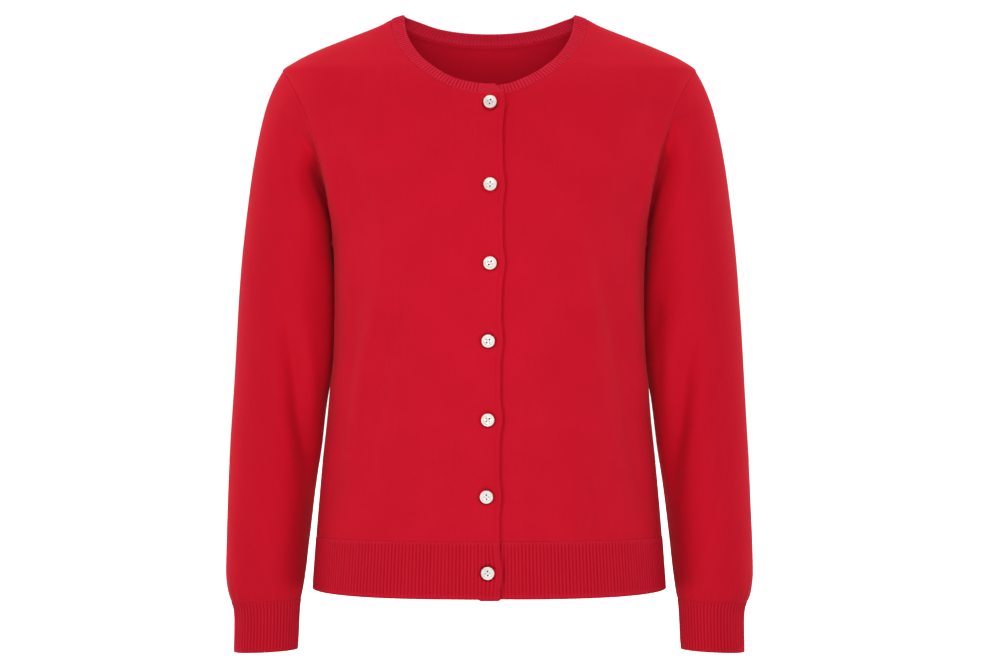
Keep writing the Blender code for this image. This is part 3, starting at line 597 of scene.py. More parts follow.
def runs(grid):
    """Distance along each row of a grid from the row's first point."""
    steps = np.linalg.norm(np.diff(grid, axis=1), axis=2)
    return np.concatenate([np.zeros((len(grid), 1)), np.cumsum(steps, axis=1)], axis=1)


def inwards(grid):
    """Distance from a grid's first column: along the row, times the sine of its angle to that edge."""
    along = unit(np.gradient(grid[:, 0], axis=0))
    into = unit(grid[:, 1] - grid[:, 0])
    sine = np.linalg.norm(np.cross(along, into), axis=1)
    return runs(grid) * np.maximum(sine, 0.3)[:, None]


def edge_distances(grid, closed=False):
    """Distances from the top, bottom, first and last edges of a grid. A closed one has no last two."""
    turned = grid.transpose(1, 0, 2)
    found = {"top": inwards(turned).T, "bottom": inwards(turned[:, ::-1])[:, ::-1].T}
    if not closed:
        found["first"] = inwards(grid)
        found["last"] = inwards(grid[:, ::-1])[:, ::-1]
    return found


def shares_between(lengths, near, far, step):
    """Shares along rows of these lengths: at set distances from both ends, and evenly between."""
    near, far = np.array(near) / lengths[:, None], 1 - np.array(far)[::-1] / lengths[:, None]
    count = round(lengths.mean() / step)
    between = near[:, -1:] + (far[:, :1] - near[:, -1:]) * np.linspace(0, 1, count)[1:-1]
    return np.concatenate([near, between, far], axis=1)


def edge_to_edge(width, margin, count):
    """Places from 0 to a width: set ones by both edges, and evenly between from margin to margin."""
    between = np.linspace(margin, width - margin, count)
    return np.concatenate([EDGE_STEPS, between, width - np.array(EDGE_STEPS)[::-1]])


def lattice_quads(grid):
    """Corners of the faces between the points of a grid of indices, four to a row."""
    quads = np.stack([grid[:-1, :-1], grid[:-1, 1:], grid[1:, 1:], grid[1:, :-1]], axis=-1)
    return quads.reshape(-1, 4)


def closed_round(grid):
    """A grid with its first column once more after its last."""
    return np.column_stack([grid, grid[:, 0]])


def path_length(surface, start, end, steps=24):
    """Length of the line that surface draws as its parameter goes from start to end, in short steps."""
    shares = np.linspace(0, 1, steps + 1)[:, None, None]
    points = surface(start + (end - start) * shares)
    return np.linalg.norm(np.diff(points, axis=0), axis=-1).sum(axis=0)


def linear(code):
    """Linear colour from sRGB hex: below 0.04045 divided by 12.92, else ((c + 0.055) / 1.055)^2.4."""
    values = [int(code[i : i + 2], 16) / 255 for i in (0, 2, 4)]
    return tuple(v / 12.92 if v <= 0.04045 else ((v + 0.055) / 1.055) ** 2.4 for v in values) + (1.0,)


def mirrored(points, side):
    """Points worked out for the wearer's left, on the side that is meant."""
    return points * (np.array([-1, 1, 1]) if side == "right" else 1)


def shell(name, skin, normals, wall, rounding, uv, material, side="left", closed=False, relief=None):
    """A closed body of cloth from its outer skin.

    The cloth's middle lies half its wall inside the skin. Its half thickness is wall / 2 times
    sqrt(1 - (1 - distance / rounding)^2) near an edge, so that each edge is rounded and its outer and
    inner surfaces share their last points. Along seams the inside is raised into a seam allowance, which
    rises over a quarter of its width and falls over a quarter past it. rounding gives the reach of each
    edge and whether it is sewn, and relief what the colour follows, on the outer and the inner surface.
    """
    half = wall / 2
    middle = skin - half * normals
    distances = edge_distances(skin, closed)
    thickness = np.full(skin.shape[:2], half)
    allowance = np.zeros(skin.shape[:2])
    for edge, distance in distances.items():
        reach, sewn = rounding[edge]
        thickness = np.minimum(thickness, half * np.sqrt(1 - (1 - np.clip(distance / reach, 0, 1)) ** 2))
        if sewn:
            place = distance / SEAM_ALLOWANCE
            height = SEAM_ALLOWANCE_HEIGHT * ease(place * 4) * ease((1.25 - place) * 4)
            allowance = np.maximum(allowance, height)
    outer = middle + thickness[..., None] * normals
    inner = middle - (thickness + allowance * (thickness > 0))[..., None] * normals
    outer_vertex = np.arange(thickness.size).reshape(thickness.shape)
    inner_vertex = np.where(thickness < 1e-9, outer_vertex, outer_vertex + thickness.size)
    if closed:
        outer_vertex, inner_vertex = closed_round(outer_vertex), closed_round(inner_vertex)
    quads = lattice_quads(np.arange(outer_vertex.size).reshape(outer_vertex.shape))
    corners = np.concatenate([outer_vertex.ravel()[quads], inner_vertex.ravel()[quads[:, ::-1]]])
    places = np.concatenate([quads, quads[:, ::-1]])
    points = mirrored(np.concatenate([outer.reshape(-1, 3), inner.reshape(-1, 3)]), side) * MM
    first, second, third, fourth = (points[corners[:, i]] for i in range(4))
    volume = (first * np.cross(second, third)).sum() + (first * np.cross(third, fourth)).sum()
    if volume < 0:
        corners, places = corners[:, ::-1], places[:, ::-1]
    used, corners = np.unique(corners, return_inverse=True)
    mesh = bpy.data.meshes.new(name)
    mesh.from_pydata(points[used].tolist(), [], corners.reshape(-1, 4).tolist())
    layer = mesh.uv_layers.new(name="cloth")
    layer.uv.foreach_set("vector", (uv.reshape(-1, 2)[places] * MM).ravel())
    if relief is not None:
        ridge = np.concatenate([side_relief.ravel() for side_relief in relief])[used]
        mesh.attributes.new("ridge", "FLOAT", "POINT").data.foreach_set("value", ridge)
    mesh.materials.append(material)
    mesh.shade_smooth()
    return put_in_scene(name, mesh)


def dress(obj, node):
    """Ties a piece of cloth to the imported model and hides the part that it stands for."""
    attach(obj, "root")
    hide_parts(node)


# ---- materials ----

# Painted shade: the dark red mixed into the cloth's colour under each button's rim and at the bottom of the
# armhole's crease
PAINTED_SHADE_RED = "5A0814"
NAP_PINK = "FFB4B8"
STITCH_DEPTH = 0.2
TWIST_PITCH = 0.35  # of the sewing thread


def fill(tree, node, **inputs):
    """Sets or links a node's inputs. Underscores stand for spaces, and _2 for the input at place 2."""
    for key, value in inputs.items():
        socket = node.inputs[int(key[1:])] if key[0] == "_" else node.inputs[key.replace("_", " ")]
        if isinstance(value, bpy.types.NodeSocket):
            tree.links.new(value, socket)
        else:
            socket.default_value = value


def add(tree, kind, settings=None, **inputs):
    """Adds a node, sets its settings and fills its inputs."""
    made = tree.nodes.new(kind)
    for key, value in (settings or {}).items():
        setattr(made, key, value)
    fill(tree, made, **inputs)
    return made


def blank(name):
    material = bpy.data.materials.new(name)
    material.use_nodes = True
    return material, material.node_tree, material.node_tree.nodes["Principled BSDF"]


def wave_scale(pitch):
    """Scale of a band wave whose bands are a pitch in mm apart: it repeats every 2 pi / 20 units."""
    return 2 * math.pi / 20 / (pitch * MM)


def knit(name, light, dark, wale_pitch, furrow=None):
    """Knitted cotton yarn. Soft and matt: its columns of stitches show as faint upright lines, a little
    nap catches light at glancing angles, and the dye is slightly uneven along the yarn. Furrows get painted
    shade, a darker colour. Under a button's rim and at the bottom of the armhole's crease it gets painted
    shade in dark red."""
    material, tree, shader = blank(name)
    uv = add(tree, "ShaderNodeUVMap", {"uv_map": "cloth"}).outputs["UV"]
    drawn_out = add(tree, "ShaderNodeMapping", Vector=uv, Scale=(230, 16, 1)).outputs["Vector"]
    streaks = add(tree, "ShaderNodeTexNoise", Vector=drawn_out, Scale=1.0, Detail=3.0, Roughness=0.6)
    patches = add(tree, "ShaderNodeTexNoise", Vector=uv, Scale=22.0, Detail=3.0, Roughness=0.55)
    fibres = add(tree, "ShaderNodeTexNoise", Vector=uv, Scale=1400.0, Detail=2.0)
    wales = add(tree, "ShaderNodeTexWave", {"bands_direction": "X"}, Vector=uv, Scale=wave_scale(wale_pitch),
                Distortion=0.5, Detail=1.0, Detail_Scale=2.0)
    courses = add(tree, "ShaderNodeTexWave", {"bands_direction": "Y"}, Vector=uv,
                  Scale=wave_scale(0.8 * wale_pitch), Distortion=0.5)
    uneven = add(tree, "ShaderNodeMix", _0=0.82, _2=streaks.outputs["Fac"], _3=patches.outputs["Fac"])
    spread = add(tree, "ShaderNodeMapRange", Value=uneven.outputs[0], From_Min=0.3, From_Max=0.7)
    colour = add(tree, "ShaderNodeMix", {"data_type": "RGBA"}, _0=spread.outputs["Result"],
                 _6=linear(dark), _7=linear(light)).outputs[2]
    ridge = add(tree, "ShaderNodeAttribute", {"attribute_name": "ridge"}).outputs["Fac"]
    # Painted shade in the furrows: where the relief is below 0.5 the colour goes towards the darker furrow
    # colour
    if furrow:
        shade = add(tree, "ShaderNodeMapRange", Value=ridge, From_Min=-0.9, From_Max=0.5)
        colour = add(tree, "ShaderNodeMix", {"data_type": "RGBA"}, _0=shade.outputs["Result"],
                     _6=linear(furrow), _7=colour).outputs[2]
    # Painted shade: dark red where the relief is below -1, in a ring at each button's rim and at the bottom
    # of the armhole's crease
    pressed = add(tree, "ShaderNodeMapRange", Value=ridge, From_Min=-PAINTED_SHADE_DEPTH, From_Max=-1.0)
    colour = add(tree, "ShaderNodeMix", {"data_type": "RGBA"}, _0=pressed.outputs["Result"],
                 _6=linear(PAINTED_SHADE_RED), _7=colour).outputs[2]
    loops = add(tree, "ShaderNodeMath", {"operation": "MULTIPLY_ADD"}, _0=wales.outputs["Fac"],
                _1=0.7, _2=fibres.outputs["Fac"])
    height = add(tree, "ShaderNodeMath", {"operation": "MULTIPLY_ADD"}, _0=courses.outputs["Fac"],
                 _1=0.35, _2=loops.outputs[0])
    bump = add(tree, "ShaderNodeBump", Strength=0.25, Distance=STITCH_DEPTH * MM, Height=height.outputs[0])
    fill(tree, shader, Base_Color=colour, Normal=bump.outputs["Normal"], Roughness=0.9,
         Specular_IOR_Level=0.08, Sheen_Weight=0.05, Sheen_Roughness=0.35, Sheen_Tint=linear(NAP_PINK))
    return material


def pearl():
    """Turned polyester, polished. White, smooth and glossy, with a faint milky swirl under the gloss."""
    material, tree, shader = blank("white polyester button, polished")
    place = add(tree, "ShaderNodeTexCoord").outputs["Object"]
    swirl = add(tree, "ShaderNodeTexNoise", Vector=place, Scale=160.0, Detail=3.0, Distortion=1.5)
    spread = add(tree, "ShaderNodeMapRange", Value=swirl.outputs["Fac"], From_Min=0.35, From_Max=0.65)
    colour = add(tree, "ShaderNodeMix", {"data_type": "RGBA"}, _0=spread.outputs["Result"],
                 _6=linear("E2E1DB"), _7=linear("EEEAE3")).outputs[2]
    fill(tree, shader, Base_Color=colour, Roughness=0.28, IOR=1.56, Coat_Weight=0.3, Coat_Roughness=0.12)
    return material


def bore():
    """Drilled polyester, left rough. Its dark grey is painted shade in the buttons' holes."""
    material, tree, shader = blank("bore of the button, painted dark for shade")
    place = add(tree, "ShaderNodeTexCoord").outputs["Object"]
    speckle = add(tree, "ShaderNodeTexNoise", Vector=place, Scale=2500.0, Detail=2.0)
    colour = add(tree, "ShaderNodeMix", {"data_type": "RGBA"}, _0=speckle.outputs["Fac"],
                 _6=linear("262B28"), _7=linear("3A403B")).outputs[2]
    fill(tree, shader, Base_Color=colour, Roughness=0.85)
    return material


def sewing_thread():
    """Spun polyester thread: off-white, matt, with the slant of its twist."""
    material, tree, shader = blank("off-white sewing thread")
    place = add(tree, "ShaderNodeTexCoord").outputs["Object"]
    twist = add(tree, "ShaderNodeTexWave", {"bands_direction": "DIAGONAL"}, Vector=place,
                Scale=wave_scale(TWIST_PITCH))
    colour = add(tree, "ShaderNodeMix", {"data_type": "RGBA"}, _0=twist.outputs["Fac"],
                 _6=linear("D9CFC6"), _7=linear("F4EEE6")).outputs[2]
    fill(tree, shader, Base_Color=colour, Roughness=0.75)
    return material


def studio_floor():
    """Painted board: pale and matt, with the faintest unevenness of a rolled coat."""
    material, tree, shader = blank("pale painted board")
    place = add(tree, "ShaderNodeTexCoord").outputs["Object"]
    coat = add(tree, "ShaderNodeTexNoise", Vector=place, Scale=3.0, Detail=2.0)
    colour = add(tree, "ShaderNodeMix", {"data_type": "RGBA"}, _0=coat.outputs["Fac"],
                 _6=linear("F3F3F1"), _7=linear("F8F8F7")).outputs[2]
    fill(tree, shader, Base_Color=colour, Roughness=0.9, Emission_Color=(1, 1, 1, 1), Emission_Strength=0.8)
    return material


JERSEY = knit("fine red cotton jersey", "D6132C", "D01129", wale_pitch=1.6)
# The furrow colours are painted shade in the ribs' furrows
RIBBING = knit("red cotton ribbing", "D71A34", "CF162F", wale_pitch=1.2, furrow="BD0820")
# A lighter copy of the ribbing for the neckband: painted light
PAINTED_LIGHT_BAND_RIBBING = knit("red cotton ribbing, painted lighter", "E02640", "D8213A", wale_pitch=1.2, furrow="C40F28")


# ---- body panels ----


def blend_to_seam(normals, seam, distance):
    """Normals that turn into the seam's own over the last SEAM_BLEND before it."""
    share = ease(1 - distance / SEAM_BLEND)[..., None]
    return unit(normals + share * (seam - normals))


def side_drop(rows):
    """The drop down the side seam, from the underarm to the ribbing."""
    return np.interp(rows, [UNDERARM_ROW, LAST_ROW], [UNDERARM_DROP, RIB_TOP_DROP])


def armhole_angle(rows, sign):
    """The angle round the armhole, from shoulder to underarm: sign is 1 by the front, -1 by the back."""
    return sign * np.clip(rows / UNDERARM_ROW, 0, 1) * math.pi


def side_seam_normals(rows, sign):
    """Normals of the armhole seam, easing into the side seam's over half a row below the underarm."""
    side = torso_normal(np.full(rows.shape, math.pi / 2), side_drop(rows))
    share = ease((rows - UNDERARM_ROW) / 0.5)[:, None]
    return unit(armhole_seam_normals(armhole_angle(rows, sign)) * (1 - share) + side * share)


def outer_rail(rows, sign):
    """(turn, drop) from the shoulder point round the armhole, then down the side."""
    turn, drop = armhole(armhole_angle(rows, sign))
    below = rows > UNDERARM_ROW
    return np.where(below, math.pi / 2, turn), np.where(below, side_drop(rows), drop)


def front_rail(rows, past_centre, edge):
    """(turn, drop) from the neck point round the neck, then down the front edge."""
    corner = -neck_angle(past_centre, 1)
    neck_turn, neck_drop = neckline(np.interp(rows, [0, NECK_ROW], [math.pi / 2, corner]), 1)
    edge_drops = [float(neckline(np.array(corner), 1)[1]), UNDERARM_DROP, RIB_TOP_DROP]
    edge_drop = np.interp(rows, [NECK_ROW, UNDERARM_ROW, LAST_ROW], edge_drops)
    below = rows > NECK_ROW
    turn = np.where(below, turn_at(-edge(edge_drop), edge_drop), neck_turn)
    return turn, np.where(below, edge_drop, neck_drop)


def panel_rows(buttoned=False):
    """Places of the rows, close together by the shoulder, by the ribbing and beside the buttons."""
    edge_steps = np.array(EDGE_STEPS)
    rows = np.arange(0.2, LAST_ROW - 0.15, ROW_STEP)
    if buttoned:
        drops = [CORNER_DROP, UNDERARM_DROP, RIB_TOP_DROP]
        for level, _ in BUTTON_PLACES[:-1]:
            row = np.interp(level, drops, [NECK_ROW, UNDERARM_ROW, LAST_ROW])
            near = row + np.arange(-8, 9) * BUTTON_STEP / LOWER_ROW_LENGTH
            kept = rows[(rows < near[0] - ROW_STEP / 3) | (rows > near[-1] + ROW_STEP / 3)]
            rows = np.sort(np.concatenate([kept, near]))
    last_rows = LAST_ROW - edge_steps[::-1] / LOWER_ROW_LENGTH
    return np.concatenate([edge_steps / UPPER_ROW_LENGTH, rows, last_rows])


def from_rail_to_rail(inner, outer, share):
    """(turn, drop) grids at these shares of the way between two rails."""
    return [a[:, None] + (b - a)[:, None] * share for a, b in zip(inner, outer)]


def button_pulls(x, drop):
    """The cloth is drawn in at each button, by a hollow and a groove round its rim, and creased beside it.

    The hollow falls with exp(-(distance / reach)^6), the groove and creases as bell curves.
    """
    total = 0.0
    for level, place in BUTTON_PLACES:
        aside, below = x - place, drop - level
        away = np.hypot(aside, below)
        hollow = PULL_DEPTH * np.exp(-((away / PULL_REACH) ** 6))
        groove = RIM_GROOVE_DEPTH * np.exp(-(((away - RIM_GROOVE_RADIUS) / RIM_GROOVE_BREADTH) ** 2))
        near = np.exp(-((aside / PULL_CREASE_ACROSS) ** 2) - (below / PULL_CREASE_DOWN) ** 2)
        total = total - hollow - groove + PULL_CREASE_HEIGHT * np.cos(below * PULL_CREASE_TURN) * near
    return total


def painted_shade_rings(x, drop):
    """Painted shade round each button: 1 on a ring at its rim, falling to 0 within 2 mm to either side."""
    aways = [np.hypot(x - place, drop - level) for level, place in BUTTON_PLACES]
    return np.exp(-(((np.min(aways, axis=0) - SHADE_RING_RADIUS) / SHADE_RING_BREADTH) ** 2))


def border_strip(past):
    """Relief of the strip along the upper front's edge: a low crown, then a groove where it is sewn on."""
    past_crown = past - BORDER_CROWN_PLACE * BORDER_WIDTH
    crown = BORDER_CROWN * np.exp(-((past_crown / BORDER_CROWN_BREADTH) ** 2))
    groove = BORDER_GROOVE * np.exp(-(((past - BORDER_WIDTH) / BORDER_GROOVE_BREADTH) ** 2))
    return crown - groove


def edge_hollow(past):
    """The lower front gives a little under the upper one's edge, so that a shadow line follows it."""
    return EDGE_HOLLOW * np.exp(-(((past - EDGE_HOLLOW_PAST) / EDGE_HOLLOW_BREADTH) ** 2))


def panel_uv(turn, drop, centre):
    """Across: the length of the level section from the panel's centre line, which is at one turn.
    Down: the length of the line at each turn, from the ribbing."""
    across = path_length(lambda turned: torso(turned, drop), np.full(turn.shape, centre), turn)
    across = across * np.sign(turn - centre)
    down = path_length(lambda level: torso(turn, level), drop, np.full(drop.shape, RIB_TOP_DROP))
    return np.stack([across, -down], axis=-1)


def make_front(side):
    """A front, from its free edge to the side: the body's surface, with folds raised along its normals and
    bulges pushed straight forwards. The wearer's right front is the upper one."""
    upper = side == "right"
    sign = -1 if upper else 1
    rows = panel_rows(buttoned=upper)
    edge = placket_x if upper else (lambda drop: np.full(drop.shape, UNDERLAP_X))
    inner = front_rail(rows, PLACKET_NECK_X if upper else UNDERLAP_X, edge)
    outer = outer_rail(rows, 1)
    near = EDGE_STEPS + (BORDER_STEPS + BUTTON_STEPS if upper else LAP_STEPS)
    lengths = runs(torso(*from_rail_to_rail(inner, outer, np.linspace(0, 1, 30))))[:, -1]
    turn, drop = from_rail_to_rail(inner, outer, shares_between(lengths, near, EDGE_STEPS, STEP))
    plain = torso(turn, drop)
    x = sign * plain[..., 0]
    distances = edge_distances(plain)
    free = ease(distances["last"] / FOLD_FADE) * ease(distances["top"] / FOLD_FADE)
    uneven = undulation(x, drop, seed=1 if upper else 2)
    gathered = gathers(x, RIB_TOP_DROP - drop, reach=14, length=17, height=0.22, seed=1.3)
    lift = front_layer(x, upper) + free * (folds(x, drop, FRONT_FOLDS) + uneven + gathered)
    if upper:
        lift = lift + button_pulls(x, drop)
        lift = lift + border_strip(placket_x(drop) - x) * ease((drop - CORNER_DROP) / BORDER_START)
    else:
        lift = lift - edge_hollow(x - placket_x(drop))
    seam = side_seam_normals(rows, 1)[:, None]
    normals = blend_to_seam(torso_normal(turn, drop), seam, distances["last"])
    bulge = folds(x, drop, FRONT_BULGES) * ease(distances["last"] / BULGE_FADE)
    skin = plain + lift[..., None] * normals + bulge[..., None] * FORWARDS
    rounding = {
        "top": (SEAM_ROUNDING, True),
        "bottom": (KNIT_ON_ROUNDING, False),
        "first": (PLACKET_ROUNDING, False),
        "last": (SEAM_ROUNDING, True),
    }
    # Painted shade in a ring at each button's rim, in the colour only
    relief = (-PAINTED_SHADE_DEPTH * painted_shade_rings(x, drop), np.zeros(x.shape)) if upper else None
    uv = panel_uv(turn, drop, 0.0)
    obj = shell("front_" + side + "_cloth", skin, normals, WALL, rounding, uv, JERSEY, side, relief=relief)
    dress(obj, "front_" + side)


def make_back():
    """One half is worked out, from the centre line to the side, and mirrored.

    Its top row follows the neck seam over the first half of its columns and then the shoulder. The rows
    below straighten out down to the underarm.
    """
    rows = panel_rows()
    neck_drop, corner_drop = neckline(np.array([math.pi, math.pi / 2]), 1)[1]
    row_drops = [neck_drop, UNDERARM_DROP, RIB_TOP_DROP]
    middle = np.full(rows.shape, math.pi), np.interp(rows, [0, UNDERARM_ROW, LAST_ROW], row_drops)
    by_side = 1 - np.array(EDGE_STEPS)[::-1] / BACK_HALF_GIRTH
    share = np.concatenate([np.linspace(0, 0.985, BACK_COLUMNS), by_side])
    top_turn, top_drop = neckline(math.pi - np.clip(2 * share, 0, 1) * math.pi / 2, 1)
    shoulder_drop = corner_drop + (SHOULDER_DROP - corner_drop) * (2 * share - 1)
    top_turn = np.where(share > 0.5, math.pi / 2, top_turn)
    top_drop = np.where(share > 0.5, shoulder_drop, top_drop)
    turn, drop = from_rail_to_rail(middle, outer_rail(rows, -1), share)
    straighten = np.clip(1 - rows / UNDERARM_ROW, 0, 1)[:, None] ** 2
    turn = np.maximum(turn + straighten * (top_turn - turn[0]), math.pi / 2)
    drop = drop + straighten * (top_drop - drop[0])
    turn = np.concatenate([turn[:, :0:-1], 2 * math.pi - turn], axis=1)
    drop = np.concatenate([drop[:, :0:-1], drop], axis=1)
    plain = torso(turn, drop)
    x = plain[..., 0]
    distances = edge_distances(plain)
    from_sides = np.minimum(distances["first"], distances["last"])
    free = ease(from_sides / FOLD_FADE) * ease(distances["top"] / FOLD_FADE)
    gathered = gathers(x, RIB_TOP_DROP - drop, reach=14, length=19, height=0.22, seed=0.4)
    lift = free * (folds(x, drop, BACK_FOLDS) + undulation(x, drop, seed=3) + gathered)
    seam = side_seam_normals(rows, -1)[:, None]
    normals = blend_to_seam(torso_normal(turn, drop), seam, distances["first"])
    normals = blend_to_seam(normals, mirrored(seam, "right"), distances["last"])
    skin = plain + lift[..., None] * normals
    rounding = {edge: (SEAM_ROUNDING, True) for edge in ("top", "first", "last")}
    rounding["bottom"] = (KNIT_ON_ROUNDING, False)
    obj = shell("back_cloth", skin, normals, WALL, rounding, panel_uv(turn, drop, math.pi), JERSEY)
    dress(obj, "back")


# ---- ribbed pieces ----


def rib_height(phase):
    """Height across a rib, from -1 in its furrow to 1 on its ridge: a sine to the power RIB_SHARPNESS."""
    return 2 * np.sin(math.pi * (phase % 1)) ** RIB_SHARPNESS - 1


def rib_fade(below_jersey, above_edge):
    """The share of its height that a rib has: it grows below the jersey and is flatter by the edge."""
    past_cast_on = ease((above_edge - 2) / 4)
    return ease(below_jersey / RIB_START) * (RIB_END_SHARE + (1 - RIB_END_SHARE) * past_cast_on)


def cast_on_groove(above_edge):
    """1 in the groove over the cast-on course, falling to 0 beside it as a bell curve."""
    return np.exp(-(((above_edge - CAST_ON_LINE) / CAST_ON_BREADTH) ** 2))


def painted_highlight_courses(distance, courses):
    """Painted highlight on courses: raised relief for the colour alone, at set distances from an edge."""
    return sum(height * np.exp(-(((distance - place) / COURSE_BREADTH) ** 2)) for place, height in courses)


def rib_relief(ridge):
    """What the colour follows, outside and inside: a ridge on one side is a shallow furrow on the other."""
    return ridge, 0.3 - 0.5 * ridge


def rib_line(points, pitch, closed=False):
    """(shares, phases, length) along a line: each rib takes up the same length, in a few uneven steps."""
    along = runs(points[None])[0]
    count = round(along[-1] / pitch)
    phases = (np.arange(count)[:, None] + RIB_PHASES).ravel()
    if not closed:
        phases = np.append(phases, count)
    return np.interp(phases / count, along / along[-1], np.linspace(0, 1, len(points))), phases, along[-1]


def uneven_ribs(phases, seed):
    """Knitted ribs are never all alike: each stands a little higher or lower than the next."""
    rib = np.floor(phases)
    return 1 + 0.16 * np.sin(rib * 2.4 + seed) + 0.1 * np.sin(rib * 0.7 + 2 * seed)


def make_hem_rib(node, starts, end, layer, side, seed):
    """A length of the hem, from the turns that starts gives for its drops to the turn where it ends: the
    body's surface, raised along its normals by the ribs and by its layer over or under the other front."""
    guide_start = starts(np.array([HEM_DROP]))[0]
    guide = torso(guide_start + (end - guide_start) * np.linspace(0, 1, GUIDE_POINTS), HEM_DROP)
    shares, phases, length = rib_line(guide, HEM_RIB_PITCH)
    depth = HEM_DROP - RIB_TOP_DROP
    upper = node == "hem_rib_front_right"
    from_top = edge_to_edge(depth, 3, BUTTONED_HEM_ROWS if upper else HEM_ROWS)[:, None]
    start = starts(RIB_TOP_DROP + from_top)
    near_start = 1 - ease(shares * length / EDGE_GIVE)
    turn = guide_start + (end - guide_start) * shares + (start - guide_start) * near_start
    edge = HEM_DROP - HEM_SIDE_RISE * np.sin(turn[-1]) ** 4
    if upper:
        x = mirrored(torso(turn[-1], HEM_DROP), side)[..., 0]
        dip = ease((x - DIP_START_X) / DIP_START_LENGTH) * (1 - ease((x - DIP_END_X) / DIP_END_LENGTH))
        edge = edge + HEM_CORNER_DIP * dip
    drop = RIB_TOP_DROP + (edge - RIB_TOP_DROP) * from_top / depth
    plain = torso(turn, drop)
    x = mirrored(plain, side)[..., 0]
    above_edge = depth - from_top
    fade = rib_fade(from_top, above_edge)
    if upper:
        fade = fade * ease((placket_x(drop) - x - BORDER_WIDTH) / 1.2)
    ridge = rib_height(phases) * uneven_ribs(phases, seed) * fade
    lift = RIB_HEIGHT * ridge + layer(plain[..., 0]) - HEM_CAST_ON_DEPTH * cast_on_groove(above_edge)
    # Painted highlight on two courses of the hem
    courses = painted_highlight_courses(above_edge, COURSES_ABOVE_EDGE) + painted_highlight_courses(from_top, COURSES_BELOW_JERSEY)
    outside, inside = rib_relief(ridge + courses)
    if upper:
        lift = lift + button_pulls(x, drop) + border_strip(placket_x(drop) - x)
        # Painted shade in a ring at each button's rim, in the colour only
        outside = outside - PAINTED_SHADE_DEPTH * painted_shade_rings(x, drop)
    if node == "hem_rib_front_left":
        lift = lift - edge_hollow(x - placket_x(drop))
    normals = torso_normal(turn, drop)
    skin = plain + lift[..., None] * normals
    uv = np.stack(np.broadcast_arrays(shares * length, above_edge), axis=-1)
    rounding = {
        "top": (KNIT_ON_ROUNDING, False),
        "bottom": (RIB_ROUNDING, False),
        "first": (RIB_ROUNDING, node == "hem_rib_back"),
        "last": (RIB_ROUNDING, True),
    }
    relief = outside, inside
    obj = shell(node + "_cloth", skin, normals, RIB_WALL, rounding, uv, RIBBING, side, relief=relief)
    dress(obj, node)


def make_hem():
    """The hem's three lengths: each front's to the side seam, and the back's from side to side."""
    side_turn = math.pi / 2
    make_hem_rib("hem_rib_front_right", lambda drop: turn_at(-placket_x(drop), drop), side_turn,
                 lambda x: front_layer(-x, True), "right", seed=0.0)
    make_hem_rib("hem_rib_front_left", lambda drop: turn_at(np.full(drop.shape, -UNDERLAP_X), drop),
                 side_turn, lambda x: front_layer(x, False), "left", seed=2.0)
    make_hem_rib("hem_rib_back", lambda drop: np.full(drop.shape, side_turn), 2 * math.pi - side_turn,
                 np.zeros_like, "left", seed=3.0)


def make_neckband():
    """The band runs from its upper end in front, over the right shoulder and round the back.

    It is worked out on the left and mirrored, and its lower end passes under its upper one.
    """
    start = -neck_angle(PLACKET_NECK_X, 1)
    end = 2 * math.pi + neck_angle(UNDERLAP_X, 1)
    guide = torso(*neckline(np.linspace(start, end, GUIDE_POINTS), 0.5))
    shares, phases, length = rib_line(guide, BAND_RIB_PITCH)
    from_edge = edge_to_edge(BAND_WIDTH, 2.9, BAND_ROWS)[:, None]
    across = from_edge / BAND_WIDTH
    base = start + (end - start) * shares
    slant = start + neck_angle(PLACKET_NECK_X - BAND_END_SLANT, 0)
    angle = base - slant * (1 - across) * np.clip(1 - (base - start) / BAND_SLANT_REACH, 0, 1)
    turn, drop = neckline(angle, across)
    plain, normals = torso(turn, drop), torso_normal(turn, drop)
    x = -plain[..., 0]
    layer = np.where(angle < math.pi, front_layer(x, True), front_layer(x, False)) * (np.cos(angle) > 0)
    past_end = x - (PLACKET_NECK_X - BAND_END_SLANT * (1 - across))
    layer = layer - edge_hollow(past_end) * (angle > 1.5 * math.pi)
    along = shares * length
    ribbed = ease((along - BAND_PLAIN_LENGTH) / 3)
    fade = ribbed * ease(from_edge / 2) * ease((BAND_WIDTH - from_edge) / 1.8)
    ridge = rib_height(phases) * uneven_ribs(phases, seed=2.0) * fade
    lift = BAND_RIB_HEIGHT * ridge + layer
    skin = plain + lift[..., None] * normals
    uv = np.stack(np.broadcast_arrays(along, from_edge), axis=-1)
    rounding = {edge: (RIB_ROUNDING, False) for edge in ("top", "first", "last")}
    rounding["bottom"] = (BAND_SEAM_ROUNDING, True)
    obj = shell("neckband_cloth", skin, normals, RIB_WALL, rounding, uv, PAINTED_LIGHT_BAND_RIBBING, "right",
                relief=rib_relief(ridge + 0.1 * (1 - ribbed)))
    dress(obj, "neckband")


# ---- sleeves ----


def ring_normals(skin):
    """Normals of a closed grid's own surface: its step round each ring, crossed with its step down."""
    wrapped = np.concatenate([skin[:, -1:], skin, skin[:, :1]], axis=1)
    return unit(np.cross(wrapped[:, 2:] - wrapped[:, :-2], np.gradient(skin, axis=0)))


